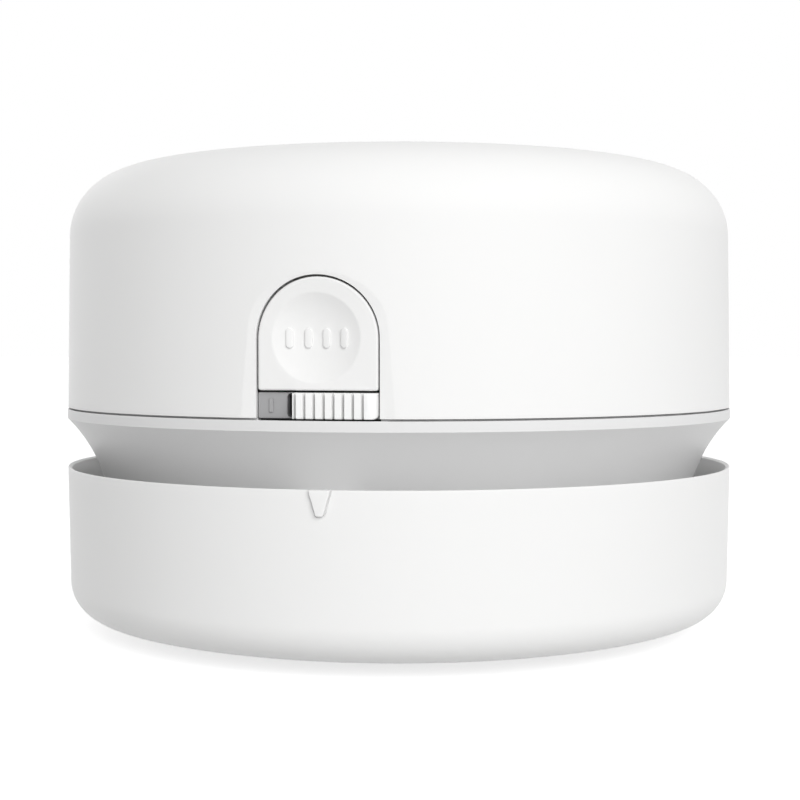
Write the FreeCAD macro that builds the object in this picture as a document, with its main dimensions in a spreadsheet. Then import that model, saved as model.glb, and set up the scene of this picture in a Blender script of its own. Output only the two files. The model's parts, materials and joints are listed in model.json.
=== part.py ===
"""Desk vacuum cleaner: a round head with fan, battery and controls on an open-topped dust cup.

Millimetres.  The origin is the centre of the footprint on the desk, +Z is up and -Y is the
front, where the push button and the slide switch are.
"""
import FreeCAD, Part
import math
import os
import Sketcher

# Driving dimensions in millimetres and degrees, one spreadsheet row each.
SIZES = {
    # dust cup
    "foot_rise": 0.8,
    "foot_sunk": 0.4,
    "foot_radius": 4.5,
    "foot_circle": 22.0,
    "bowl_radius": 40.9,
    "bowl_tall": 19.4,
    "bowl_wall": 1.3,
    "bowl_draft": 1.0,
    "bowl_straight": 14.1,
    "bowl_corner": 4.3,
    "bowl_turn": 75.0,
    "rim_round": 0.35,
    "dust_ring_inset": 1.0,
    "dust_ring_wall": 1.4,
    "dust_ring_tall": 11.2,
    "inlet_radius": 8.0,
    "inlet_wall": 1.3,
    "inlet_tall": 6.6,
    "brush_circle": 13.0,
    "brush_wide": 2.4,
    "brush_deep": 2.4,
    "tuft_radius": 0.5,
    "tuft_count": 28,
    "catch_wide": 7.0,
    "catch_thick": 1.4,
    "catch_grip": 1.7,
    "pointer_top": 2.3,
    "pointer_foot": 0.8,
    "pointer_tall": 2.7,
    "pointer_rise": 0.3,
    "pointer_drop": 0.45,
    # head base
    "air_gap": 3.8,
    "base_wall": 1.6,
    "neck_show": 7.06,
    "flare_radius": 18.0,
    "flare_drop": 13.9,
    "flare_turn": 45.0,
    "lip_edge": 0.13,
    "band_proud": 0.36,
    "seam_gap": 0.25,
    "seam_deep": 0.55,
    "spigot_tall": 1.2,
    "spigot_wall": 1.2,
    "spigot_fit": 0.1,
    "seal_thick": 0.8,
    "seat_gap": 0.05,
    "floor_lift": 1.75,
    "floor_thick": 1.0,
    "eye_radius": 11.0,
    "port_low": 0.9,
    "port_tall": 3.2,
    "port_turn": 12.0,
    "port_count": 12,
    "column_radius": 3.4,
    "column_inset": 4.8,
    "column_turn": 25.0,
    "post_radius": 2.8,
    "post_turn": 138.0,
    # filter
    "filter_inset": 1.6,
    "filter_rim": 2.0,
    "filter_deep": 3.3,
    "ledge_thick": 0.7,
    "ledge_reach": 1.3,
    "ledge_turn": 28.0,
    "tab_turn": 14.0,
    "tab_thick": 0.7,
    "tab_count": 3,
    "pad_thick": 1.6,
    "mesh_thick": 0.2,
    "spoke_thick": 1.1,
    "spoke_wide": 1.4,
    "grip_tall": 1.2,
    # fan and motor
    "fan_room": 8.2,
    "fan_float": 0.6,
    "blade_tall": 2.8,
    "blade_thick": 0.9,
    "blade_count": 9,
    "fan_disc": 1.2,
    "hub_radius": 3.2,
    "hub_eye": 9.0,
    "plate_thick": 1.6,
    "plate_lift": 6.8,
    "plate_inset": 0.4,
    "motor_radius": 12.1,
    "motor_tall": 21.0,
    "can_wall": 0.8,
    "nose_radius": 3.0,
    "nose_tall": 1.2,
    "bell_tall": 2.4,
    "shaft_radius": 1.0,
    "shaft_run": 0.04,
    "magnet_thick": 1.8,
    "magnet_turn": 130.0,
    "rotor_gap": 0.4,
    "stack_tall": 11.0,
    "brass_radius": 2.6,
    "brass_tall": 2.8,
    # shell
    "shell_tall": 29.61,
    "shell_wall": 1.6,
    "shell_draft": 0.91,
    "shoulder_radius": 8.12,
    "shoulder_turn": 63.9,
    "crown_radius": 11.85,
    "crown_turn": 87.84,
    "dome_rise": 0.717,
    "boss_radius": 3.0,
    "facet_deep": 0.81,
    "facet_flat": 9.5,
    "facet_sweep": 25.7,
    # button and latch
    "window_half": 6.4,
    "arch_level": 8.15,
    "button_gap": 0.2,
    "button_sunk": 0.05,
    "button_low": 2.83,
    "button_travel": 2.2,
    "flange_wide": 0.9,
    "flange_thick": 0.9,
    "flange_back": 1.95,
    "dish_radius": 4.45,
    "dish_deep": 0.55,
    "dish_level": 8.3,
    "tick_pitch": 1.7,
    "tick_radius": 0.38,
    "tick_half": 0.65,
    "tick_rise": 0.18,
    "tick_count": 4,
    "arm_thick": 2.0,
    "arm_half": 3.0,
    "nose_thick": 1.3,
    "latch_play": 0.3,
    "bracket_thick": 1.6,
    "bracket_half": 8.0,
    "spring_level": 9.5,
    "spring_radius": 2.2,
    "spring_wire": 0.25,
    "spring_turns": 7,
    # switch
    "strip_low": 0.06,
    "strip_top": 2.63,
    "knob_left": -2.75,
    "knob_right": 6.2,
    "knob_proud": 0.62,
    "knob_thick": 1.1,
    "knob_travel": 3.4,
    "groove_pitch": 1.01,
    "groove_wide": 0.25,
    "groove_deep": 0.25,
    "groove_count": 8,
    "label_sunk": 0.63,
    "label_thick": 1.2,
    "label_half": 7.6,
    "stem_half": 1.4,
    "stem_tall": 1.4,
    "switch_deep": 3.0,
    "switch_half": 4.4,
    "board_thick": 0.8,
    # battery, board and socket
    "cell_radius": 7.0,
    "cell_long": 43.0,
    "cell_share": 0.5645,
    "cradle_half": 5.0,
    "cell_lift": 3.2,
    "board_lift": 3.2,
    "board_half": 13.0,
    "board_front": 2.9,
    "board_gap": 0.98,
    "main_board": 1.0,
    "socket_half": 4.47,
    "socket_tall": 3.2,
    "socket_deep": 7.3,
    "socket_skin": 0.3,
    "socket_inset": 0.5,
    # fasteners and leads
    "screw_radius": 1.0,
    "screw_head": 1.9,
    "screw_cap": 1.3,
    "small_radius": 0.8,
    "small_head": 1.5,
    "small_cap": 0.9,
    "lead_radius": 0.55,
    "lead_room": 1.8,
}

doc = FreeCAD.newDocument("desk_vacuum")
sheet = doc.addObject("Spreadsheet::Sheet", "dim")
for row, (alias, value) in enumerate(SIZES.items(), 1):
    sheet.set(f"A{row}", alias)
    sheet.set(f"B{row}", str(value))
    sheet.setAlias(f"B{row}", alias)
doc.recompute()

NODES = []

# ---------------------------------------------------------------- levels and radii
# Heights above the desk, built up from the desk to the crown.
RIM = "(dim.foot_rise + dim.bowl_tall)"
SEAM = f"({RIM} + dim.neck_show)"
CUP_FLOOR = "(dim.foot_rise + dim.bowl_wall)"
RING_TOP = "(dim.foot_rise + dim.dust_ring_tall)"
NECK_FOOT = f"({RING_TOP} + dim.seat_gap + dim.seal_thick)"
FLOOR_LOW = f"({NECK_FOOT} + dim.floor_lift)"
FLOOR_TOP = f"({FLOOR_LOW} + dim.floor_thick)"
PLATE_LOW = f"({FLOOR_TOP} + dim.plate_lift)"
PLATE_TOP = f"({PLATE_LOW} + dim.plate_thick)"
FAN_LOW = f"({FLOOR_TOP} + dim.fan_float)"
FAN_TOP = f"({FAN_LOW} + dim.blade_tall + dim.fan_disc)"
CAN_TOP = f"({PLATE_TOP} + dim.motor_tall)"
COLUMN_TOP = f"({PLATE_TOP} + 0.6)"
BOARD_LOW = f"({PLATE_TOP} + dim.board_lift)"
BOARD_TOP = f"({BOARD_LOW} + dim.main_board)"
CELL_LEVEL = f"({BOARD_TOP} + dim.cell_lift + dim.cell_radius)"
SHELL_TOP = f"({SEAM} + dim.shell_tall)"
NOSE_LOW = f"({FLOOR_TOP} + dim.latch_play)"
NOSE_TOP = f"({NOSE_LOW} + dim.nose_thick)"
CATCH_LOW = f"({NOSE_TOP} + dim.latch_play)"
SPRING_LEVEL = f"({SEAM} + dim.spring_level)"
STRIP_LEVEL = f"({SEAM} + (dim.strip_low + dim.strip_top) / 2)"
SOCKET_LEVEL = f"({BOARD_TOP} + dim.socket_tall / 2)"

# Radii, from the cup inwards.
NECK = "(dim.bowl_radius - dim.bowl_wall - dim.air_gap)"
NECK_IN = f"({NECK} - dim.base_wall)"
FLARE_EDGE = f"({NECK} + dim.flare_radius * (1 - cos(dim.flare_turn)))"
BAND = f"({FLARE_EDGE} + dim.lip_edge)"
SHELL = f"({BAND} - dim.band_proud)"
SHELL_IN = f"({SHELL} - dim.shell_wall)"
SPIGOT = f"({SHELL_IN} - dim.spigot_fit)"
SPIGOT_IN = f"({SPIGOT} - dim.spigot_wall)"
RING_OUT = f"({NECK} - dim.dust_ring_inset)"
RING_IN = f"({RING_OUT} - dim.dust_ring_wall)"
FILTER = f"({NECK_IN} - dim.filter_inset)"
FAN = f"({NECK_IN} - dim.fan_room)"
COLUMNS = f"({NECK} - dim.column_inset)"
FLARE_LEVEL = f"({SEAM} - dim.flare_drop)"

# Distances of the front planes from the axis.
FACE = f"({SHELL} - dim.facet_deep)"
FLANGE_FRONT = f"({FACE} - dim.flange_back)"
FLANGE_BACK = f"({FLANGE_FRONT} - dim.flange_thick)"
LABEL_FRONT = f"({FACE} - dim.label_sunk)"
LABEL_BACK = f"({LABEL_FRONT} - dim.label_thick)"
SWITCH_FRONT = f"({LABEL_BACK} - 1.9)"
SWITCH_BACK = f"({SWITCH_FRONT} - dim.switch_deep)"
BOARD_BACK = f"({SWITCH_BACK} - dim.board_thick)"
ARM_FRONT = f"({BOARD_BACK} - 0.8)"
ARM_BACK = f"({ARM_FRONT} - dim.arm_thick)"
BRACKET_FRONT = f"({ARM_BACK} - dim.button_travel - 0.4)"
BRACKET_BACK = f"({BRACKET_FRONT} - dim.bracket_thick)"
CATCH_REACH = f"({NECK} + 0.9)"
NOSE_REACH = f"({CATCH_REACH} + dim.catch_grip)"
CELL_REACH = f"sqrt(({SHELL_IN})^2 - (dim.cell_long / 2)^2)"
CELL_ROOM = f"({CELL_REACH} - dim.motor_radius - 2 * dim.cell_radius)"
CELL_BACK = f"(dim.motor_radius + dim.cell_radius + dim.cell_share * {CELL_ROOM})"
SOCKET_FRONT = f"({SHELL} - dim.socket_inset)"
MAIN_FRONT = "(dim.motor_radius + dim.board_front)"
MAIN_BACK = f"sqrt(({SPIGOT_IN} - dim.board_gap)^2 - dim.board_half^2)"


def num(text):
    """The value of an expression as a plain number."""
    return float(sheet.evalExpression(text))


# ---------------------------------------------------------------- sketching helpers
def new_body(label):
    body = doc.addObject("PartDesign::Body", label)
    body.Label = label
    return body


def keep(obj, label):
    """Give a finished sub-part its name and put it on the list of pieces."""
    obj.Label = label
    NODES.append(obj)
    return obj


def origin_part(body, role):
    return next(item for item in body.Origin.OriginFeatures if item.Role == role)


def sketch_on(body, role, name, offset="0", turn="0"):
    """A sketch on an origin plane, moved along its normal and turned about the upright axis."""
    sketch = body.newObject("Sketcher::SketchObject", name)
    sketch.AttachmentSupport = [(origin_part(body, role), "")]
    sketch.MapMode = "FlatFace"
    if turn != "0":
        sketch.AttachmentOffset = FreeCAD.Placement(
            FreeCAD.Vector(), FreeCAD.Rotation(FreeCAD.Vector(0, 1, 0), num(turn)))
        sketch.setExpression("AttachmentOffset.Rotation.Angle", turn)
    sketch.setExpression("AttachmentOffset.Base.z", offset)
    return sketch


def arc_between(start, end, radius):
    """The short arc from start to end; a positive radius turns left, a negative one right."""
    chord = end - start
    size = abs(radius)
    rise = math.sqrt(max(size * size - chord.Length ** 2 / 4, 0.0))
    left = FreeCAD.Vector(-chord.y, chord.x, 0).normalize()
    centre = (start + end) / 2 + left * (rise if radius > 0 else -rise)
    first, last = (start, end) if radius > 0 else (end, start)
    angles = [math.atan2((p - centre).y, (p - centre).x) for p in (first, last)]
    if angles[1] < angles[0]:
        angles[1] += 2 * math.pi
    circle = Part.Circle(centre, FreeCAD.Vector(0, 0, 1), size)
    return Part.ArcOfCircle(circle, angles[0], angles[1])


def bind(sketch, constraint, name, text):
    index = sketch.addConstraint(constraint)
    sketch.renameConstraint(index, name)
    sketch.setExpression(f"Constraints.{name}", text)


def outline(sketch, corners):
    """A closed outline.  A corner is (x, y) or (x, y, radius of the arc that leaves it)."""
    first = sketch.GeometryCount
    count = len(corners)
    points = [FreeCAD.Vector(num(c[0]), num(c[1]), 0) for c in corners]
    ends = []
    for i, corner in enumerate(corners):
        start, end = points[i], points[(i + 1) % count]
        if len(corner) == 3:
            radius = num(corner[2])
            sketch.addGeometry(arc_between(start, end, radius), False)
            ends.append((1, 2) if radius > 0 else (2, 1))
        else:
            sketch.addGeometry(Part.LineSegment(start, end), False)
            ends.append((1, 2))
    for i in range(count):
        j = (i + 1) % count
        sketch.addConstraint(
            Sketcher.Constraint("Coincident", first + i, ends[i][1], first + j, ends[j][0]))
    for i, corner in enumerate(corners):
        edge = first + i
        at = ends[i][0]
        bind(sketch, Sketcher.Constraint("DistanceX", -1, 1, edge, at, points[i].x),
             f"x{edge}", corner[0])
        bind(sketch, Sketcher.Constraint("DistanceY", -1, 1, edge, at, points[i].y),
             f"y{edge}", corner[1])
        if len(corner) == 3:
            size = abs(num(corner[2]))
            bind(sketch, Sketcher.Constraint("Radius", edge, size), f"r{edge}",
                 f"abs({corner[2]})")


def ring(sketch, x, y, radius):
    """A circle."""
    edge = sketch.GeometryCount
    centre = FreeCAD.Vector(num(x), num(y), 0)
    sketch.addGeometry(Part.Circle(centre, FreeCAD.Vector(0, 0, 1), num(radius)), False)
    bind(sketch, Sketcher.Constraint("DistanceX", -1, 1, edge, 3, centre.x), f"x{edge}", x)
    bind(sketch, Sketcher.Constraint("DistanceY", -1, 1, edge, 3, centre.y), f"y{edge}", y)
    bind(sketch, Sketcher.Constraint("Radius", edge, num(radius)), f"r{edge}", radius)


def block(sketch, left, low, right, high):
    """A rectangle."""
    outline(sketch, [(left, low), (right, low), (right, high), (left, high)])


def feature(body, kind, sketch, name, reverse=False):
    made = body.newObject(f"PartDesign::{kind}", name)
    made.Profile = sketch
    made.Reversed = reverse
    return made


def pad(body, sketch, name, length, reverse=False):
    made = feature(body, "Pad", sketch, name, reverse)
    made.setExpression("Length", length)
    doc.recompute()
    return made


def pocket(body, sketch, name, depth, reverse=False):
    """A pocket that has to take material away."""
    before = body.Shape.Volume
    made = feature(body, "Pocket", sketch, name, reverse)
    made.setExpression("Length", depth)
    doc.recompute()
    if not body.Shape.Volume < before:
        raise ValueError(f"{body.Label}: {name} cuts nothing")
    return made


def turned(body, sketch, name, kind="Revolution", angle="360"):
    """A revolution, or a groove, about the upright axis."""
    made = feature(body, kind, sketch, name)
    made.ReferenceAxis = (sketch, ["V_Axis"])
    made.setExpression("Angle", angle)
    doc.recompute()
    return made


def around(body, originals, name, count):
    """Copies spread evenly about the upright axis."""
    made = body.newObject("PartDesign::PolarPattern", name)
    made.Originals = originals
    made.Axis = (origin_part(body, "Z_Axis"), [""])
    made.Angle = 360
    made.setExpression("Occurrences", count)
    body.Tip = made
    doc.recompute()
    return made


def circle_spots(radius, angles):
    """Places on a circle as pairs of expressions, from a list of angle expressions."""
    return [(f"{radius} * cos({angle})", f"{radius} * sin({angle})") for angle in angles]


# ---------------------------------------------------------------- primitive helpers
def place(obj, x, y, z, axis=None, angle=0):
    if axis:
        obj.Placement = FreeCAD.Placement(
            FreeCAD.Vector(), FreeCAD.Rotation(FreeCAD.Vector(*axis), angle))
    for letter, text in zip("xyz", (x, y, z)):
        obj.setExpression(f"Placement.Base.{letter}", text)
    return obj


def rod(name, radius, length, x, y, z, axis=None, angle=0):
    obj = doc.addObject("Part::Cylinder", name)
    obj.setExpression("Radius", radius)
    obj.setExpression("Height", length)
    return place(obj, x, y, z, axis, angle)


def brick(name, x, y, z, length, width, height):
    """A box from its low corner."""
    obj = doc.addObject("Part::Box", name)
    obj.setExpression("Length", length)
    obj.setExpression("Width", width)
    obj.setExpression("Height", height)
    return place(obj, x, y, z)


def fused(name, parts):
    obj = doc.addObject("Part::MultiFuse", name)
    obj.Shapes = parts
    obj.Refine = True
    return obj


def minus(name, base, tool):
    obj = doc.addObject("Part::Cut", name)
    obj.Base = base
    obj.Tool = tool
    obj.Refine = True
    return obj


def group(name, parts):
    obj = doc.addObject("Part::Compound", name)
    obj.Links = parts
    return obj


def screw_set(label, spots, seat, length, size="screw", head_down=True):
    """Socket screws at the spots, their heads below or above the seat."""
    radius, head, cap = f"dim.{size}_radius", f"dim.{size}_head", f"dim.{size}_cap"
    screws = []
    for i, (x, y) in enumerate(spots):
        low_head = f"{seat} - {cap}" if head_down else seat
        low_shank = seat if head_down else f"{seat} - {length}"
        recess = f"{seat} - {cap}" if head_down else f"{seat} + {cap} / 2"
        shank = rod(f"{label}_shank{i}", radius, length, x, y, low_shank)
        top = rod(f"{label}_cap{i}", head, cap, x, y, low_head)
        drive = doc.addObject("Part::Prism", f"{label}_drive{i}")
        drive.Polygon = 6
        drive.setExpression("Circumradius", f"{head} / 2")
        drive.setExpression("Height", f"{cap} / 2")
        place(drive, x, y, recess)
        screws.append(minus(f"{label}_{i}", fused(f"{label}_blank{i}", [shank, top]), drive))
    return keep(group(label, screws), label)


# ---------------------------------------------------------------- dust cup
def bowl_outline():
    """The cup's section: wall with draft, round corner, shallow crowned floor, inlet pipe."""
    draft = "dim.bowl_draft"
    wall_low = f"({RIM} - dim.bowl_straight)"
    wall_at = f"(dim.bowl_radius - dim.bowl_straight * tan({draft}))"
    hub_x = f"({wall_at} - dim.bowl_corner * cos({draft}))"
    hub_y = f"({wall_low} + dim.bowl_corner * sin({draft}))"

    def on_corner(size, turn):
        return f"({hub_x} + {size} * cos({turn}))", f"({hub_y} - {size} * sin({turn}))"

    inner = "(dim.bowl_corner - dim.bowl_wall)"
    turn = "dim.bowl_turn"
    end_x, end_y = on_corner("dim.bowl_corner", turn)
    sweep = f"(({end_y} - dim.foot_rise) / (1 - sin({turn})))"
    flat = f"({end_x} - {sweep} * cos({turn}))"
    in_start = on_corner(inner, draft)
    in_end = on_corner(inner, turn)
    pipe = "(dim.inlet_radius + dim.inlet_wall)"
    pipe_top = "(dim.foot_rise + dim.inlet_tall)"
    return [
        ("dim.inlet_radius", "dim.foot_rise"),
        (flat, "dim.foot_rise", sweep),
        (end_x, end_y, "dim.bowl_corner"),
        (wall_at, wall_low),
        ("dim.bowl_radius", f"{RIM} - dim.rim_round", "dim.rim_round"),
        ("dim.bowl_radius - dim.rim_round", RIM),
        ("dim.bowl_radius - dim.bowl_wall", RIM),
        (in_start[0], in_start[1], f"-{inner}"),
        (in_end[0], in_end[1], f"-({sweep} - dim.bowl_wall)"),
        (flat, CUP_FLOOR),
        (pipe, CUP_FLOOR),
        (pipe, pipe_top),
        ("dim.inlet_radius", pipe_top),
    ]


def make_dust_cup():
    body = new_body("dust_cup")
    section = sketch_on(body, "XZ_Plane", "cup_section")
    outline(section, bowl_outline())
    turned(body, section, "cup_shell")

    wall = sketch_on(body, "XZ_Plane", "dust_ring_section")
    block(wall, RING_IN, CUP_FLOOR, RING_OUT, RING_TOP)
    turned(body, wall, "dust_ring")

    low, high = "dim.brush_circle - dim.brush_wide / 2", "dim.brush_circle + dim.brush_wide / 2"
    channel_top = "(dim.foot_rise + dim.brush_deep)"
    housing = sketch_on(body, "XZ_Plane", "channel_section")
    block(housing, f"{low} - dim.inlet_wall", f"{CUP_FLOOR} - dim.bowl_wall / 2",
          f"{high} + dim.inlet_wall", f"{channel_top} + dim.inlet_wall")
    turned(body, housing, "channel_housing")
    channel = sketch_on(body, "XZ_Plane", "channel_cut")
    block(channel, low, "dim.foot_rise - 1", high, channel_top)
    turned(body, channel, "brush_channel", "Groove")

    catch = sketch_on(body, "XY_Plane", "catch_outline", CATCH_LOW)
    block(catch, "-dim.catch_wide / 2", "-(dim.bowl_radius - 0.9)", "dim.catch_wide / 2",
          f"-{CATCH_REACH}")
    pad(body, catch, "latch_catch", "dim.catch_thick")

    top = f"({RIM} - dim.pointer_drop)"
    low = f"({top} - dim.pointer_tall)"
    pointer = sketch_on(body, "XZ_Plane", "pointer_outline", "dim.bowl_radius - dim.bowl_wall / 2")
    outline(pointer, [("-dim.pointer_foot / 2", low), ("dim.pointer_foot / 2", low),
                      ("dim.pointer_top / 2", top), ("-dim.pointer_top / 2", top)])
    pad(body, pointer, "pointer_mark", "dim.bowl_wall / 2 + dim.pointer_rise")

    recess = sketch_on(body, "XY_Plane", "foot_seat", "dim.foot_rise")
    spot = circle_spots("dim.foot_circle", ["45"])[0]
    ring(recess, spot[0], spot[1], "dim.foot_radius + dim.seat_gap")
    cut = pocket(body, recess, "foot_recess", "dim.foot_sunk", True)
    around(body, [cut], "foot_recesses", "4")
    keep(body, "dust_cup")


def make_feet():
    feet = []
    for i in range(4):
        x, y = circle_spots("dim.foot_circle", [f"{45 + 90 * i}"])[0]
        feet.append(rod(f"foot_{i}", "dim.foot_radius", "dim.foot_rise + dim.foot_sunk", x, y, "0"))
    keep(group("glide_feet", feet), "glide_feet")


def make_brush():
    """A brush strip ring pressed into the channel round the inlet, and its tufts."""
    body = new_body("brush_ring")
    section = sketch_on(body, "XZ_Plane", "brush_section")
    channel_top = "dim.foot_rise + dim.brush_deep"
    block(section, "dim.brush_circle - dim.brush_wide / 2", "dim.foot_rise + 0.3",
          "dim.brush_circle + dim.brush_wide / 2", channel_top)
    turned(body, section, "brush_back")
    keep(body, "brush_ring")

    tufts = []
    for i in range(int(SIZES["tuft_count"])):
        x, y = circle_spots("dim.brush_circle", [f"{i} * 360 / dim.tuft_count"])[0]
        tufts.append(rod(f"tuft_{i}", "dim.tuft_radius", "dim.foot_rise + 0.2", x, y, "0.1"))
    keep(group("bristles", tufts), "bristles")


# ---------------------------------------------------------------- head base
def base_outline():
    """The flared neck with the light band on top and the spigot that centres the shell."""
    hub = f"({NECK} + dim.flare_radius)"
    inner = "(dim.flare_radius + dim.base_wall)"
    lip = f"({FLARE_LEVEL} + dim.flare_radius * sin(dim.flare_turn))"
    inner_turn = f"acos(({hub} - {SPIGOT_IN}) / {inner})"
    step = f"({SHELL} - dim.seam_deep)"
    return [
        (NECK_IN, NECK_FOOT),
        (NECK, NECK_FOOT),
        (NECK, FLARE_LEVEL, "-dim.flare_radius"),
        (FLARE_EDGE, lip),
        (BAND, f"{lip} + dim.lip_edge"),
        (BAND, f"{SEAM} - dim.seam_gap"),
        (step, f"{SEAM} - dim.seam_gap"),
        (step, SEAM),
        (SPIGOT, SEAM),
        (SPIGOT, f"{SEAM} + dim.spigot_tall"),
        (SPIGOT_IN, f"{SEAM} + dim.spigot_tall"),
        (SPIGOT_IN, f"{FLARE_LEVEL} + {inner} * sin({inner_turn})", inner),
        (NECK_IN, FLARE_LEVEL),
    ]


COLUMN_ANGLES = ["dim.column_turn", "180 - dim.column_turn", "180 + dim.column_turn",
                 "-dim.column_turn"]
COLUMN_SPOTS = circle_spots(COLUMNS, COLUMN_ANGLES)
POST_ANGLES = ["90", "90 + dim.post_turn", "90 - dim.post_turn"]
POST_SPOTS = circle_spots(COLUMNS, POST_ANGLES)
SCREW_SEAT = f"({FLOOR_TOP} + 4.4)"


def make_head_base():
    body = new_body("head_base")
    section = sketch_on(body, "XZ_Plane", "base_section")
    outline(section, base_outline())
    turned(body, section, "neck_shell")

    floor = sketch_on(body, "XZ_Plane", "floor_section")
    block(floor, "dim.eye_radius", FLOOR_LOW, f"{NECK_IN} + dim.base_wall / 2", FLOOR_TOP)
    turned(body, floor, "fan_floor")

    columns = sketch_on(body, "XY_Plane", "column_outline", FLOOR_LOW)
    for x, y in COLUMN_SPOTS:
        ring(columns, x, y, "dim.column_radius")
    pad(body, columns, "columns", f"{COLUMN_TOP} - {FLOOR_LOW}")
    posts = sketch_on(body, "XY_Plane", "post_outline", FLOOR_LOW)
    for x, y in POST_SPOTS:
        ring(posts, x, y, "dim.post_radius")
    pad(body, posts, "plate_posts", f"{PLATE_LOW} - {FLOOR_LOW}")

    wells = sketch_on(body, "XY_Plane", "well_outline", FLOOR_LOW)
    for x, y in COLUMN_SPOTS:
        ring(wells, x, y, "dim.screw_head + 0.3")
    pocket(body, wells, "screw_wells", f"{SCREW_SEAT} - {FLOOR_LOW}", True)
    bores = sketch_on(body, "XY_Plane", "bore_outline", COLUMN_TOP)
    for x, y in COLUMN_SPOTS:
        ring(bores, x, y, "dim.screw_radius + 0.2")
    pocket(body, bores, "screw_bores", f"{COLUMN_TOP} - {FLOOR_LOW}")
    pilots = sketch_on(body, "XY_Plane", "pilot_outline", PLATE_LOW)
    for x, y in POST_SPOTS:
        ring(pilots, x, y, "dim.small_radius")
    pocket(body, pilots, "post_pilots", "5")

    port = sketch_on(body, "XZ_Plane", "port_section", turn="15")
    port_low = f"({FLOOR_TOP} + dim.port_low)"
    block(port, f"{NECK_IN} - 0.3", port_low, f"{NECK} + 4", f"{port_low} + dim.port_tall")
    ports = turned(body, port, "air_port", "Groove", "dim.port_turn")
    around(body, [ports], "air_ports", "dim.port_count")

    hatch = sketch_on(body, "XZ_Plane", "hatch_outline", f"{NECK_IN} - 1.2")
    block(hatch, "-dim.arm_half - 0.3", FLOOR_TOP, "dim.arm_half + 0.3",
          f"{NOSE_TOP} + dim.latch_play")
    pocket(body, hatch, "latch_window", "dim.base_wall + 3", True)

    front = sketch_on(body, "XY_Plane", "front_notch_outline", f"{SEAM} - 0.8")
    block(front, "-8.5", f"-{SPIGOT} - 0.01", "8.5", "-30")
    pocket(body, front, "front_notch", "dim.spigot_tall + 1", True)
    rear = sketch_on(body, "XY_Plane", "rear_notch_outline", f"{BOARD_TOP} - 0.4")
    block(rear, "-dim.socket_half - 0.5", "30", "dim.socket_half + 0.5", f"{SPIGOT} + 0.01")
    pocket(body, rear, "rear_notch", "dim.spigot_tall + 1", True)

    ledge = sketch_on(body, "XZ_Plane", "ledge_section", turn="30 - dim.ledge_turn / 2")
    block(ledge, f"{NECK_IN} - dim.ledge_reach", NECK_FOOT, f"{NECK_IN} + 0.3",
          f"{NECK_FOOT} + dim.ledge_thick")
    made = turned(body, ledge, "bayonet_ledge", "Revolution", "dim.ledge_turn")
    around(body, [made], "bayonet_ledges", "dim.tab_count")
    keep(body, "head_base")


def make_seal():
    body = new_body("seal_ring")
    section = sketch_on(body, "XZ_Plane", "seal_section")
    block(section, RING_IN, f"{RING_TOP} + dim.seat_gap", f"{RING_OUT} + 0.4", NECK_FOOT)
    turned(body, section, "seal")
    keep(body, "seal_ring")


# ---------------------------------------------------------------- filter
FILTER_TOP = f"({FLOOR_LOW} - 0.3)"
FILTER_LOW = f"({FILTER_TOP} - dim.filter_deep)"


def make_filter():
    body = new_body("filter_frame")
    rim = sketch_on(body, "XZ_Plane", "rim_section")
    block(rim, f"{FILTER} - dim.filter_rim", FILTER_LOW, FILTER, FILTER_TOP)
    turned(body, rim, "filter_rim")
    hub = sketch_on(body, "XY_Plane", "hub_outline", FILTER_LOW)
    ring(hub, "0", "0", "5")
    pad(body, hub, "filter_hub", "dim.spoke_thick")
    spoke = sketch_on(body, "XY_Plane", "spoke_outline", FILTER_LOW)
    block(spoke, "3", "-dim.spoke_wide / 2", f"{FILTER} - dim.filter_rim / 2",
          "dim.spoke_wide / 2")
    made = pad(body, spoke, "spoke", "dim.spoke_thick")
    around(body, [made], "spokes", "8")
    grip = sketch_on(body, "XY_Plane", "grip_outline", FILTER_LOW)
    outline(grip, [("-13", "-1.2"), ("13", "-1.2", "1.2"), ("14.2", "0", "1.2"),
                   ("13", "1.2"), ("-13", "1.2", "1.2"), ("-14.2", "0", "1.2")])
    pad(body, grip, "finger_grip", "dim.grip_tall", True)
    tab_low = f"({NECK_FOOT} + dim.ledge_thick + 0.1)"
    tab = sketch_on(body, "XZ_Plane", "tab_section", turn="30 - dim.tab_turn / 2")
    block(tab, f"{FILTER} - 0.5", tab_low, f"{NECK_IN} - 0.3", f"{tab_low} + dim.tab_thick")
    made = turned(body, tab, "bayonet_tab", "Revolution", "dim.tab_turn")
    around(body, [made], "bayonet_tabs", "dim.tab_count")
    keep(body, "filter_frame")

    inner = f"{FILTER} - dim.filter_rim - 0.1"
    mesh_low = f"({FILTER_LOW} + dim.spoke_thick)"
    keep(rod("filter_mesh", inner, "dim.mesh_thick", "0", "0", mesh_low), "filter_mesh")
    pad_low = f"{mesh_low} + dim.mesh_thick"
    keep(rod("filter_pad", inner, "dim.pad_thick", "0", "0", pad_low), "filter_pad")


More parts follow.
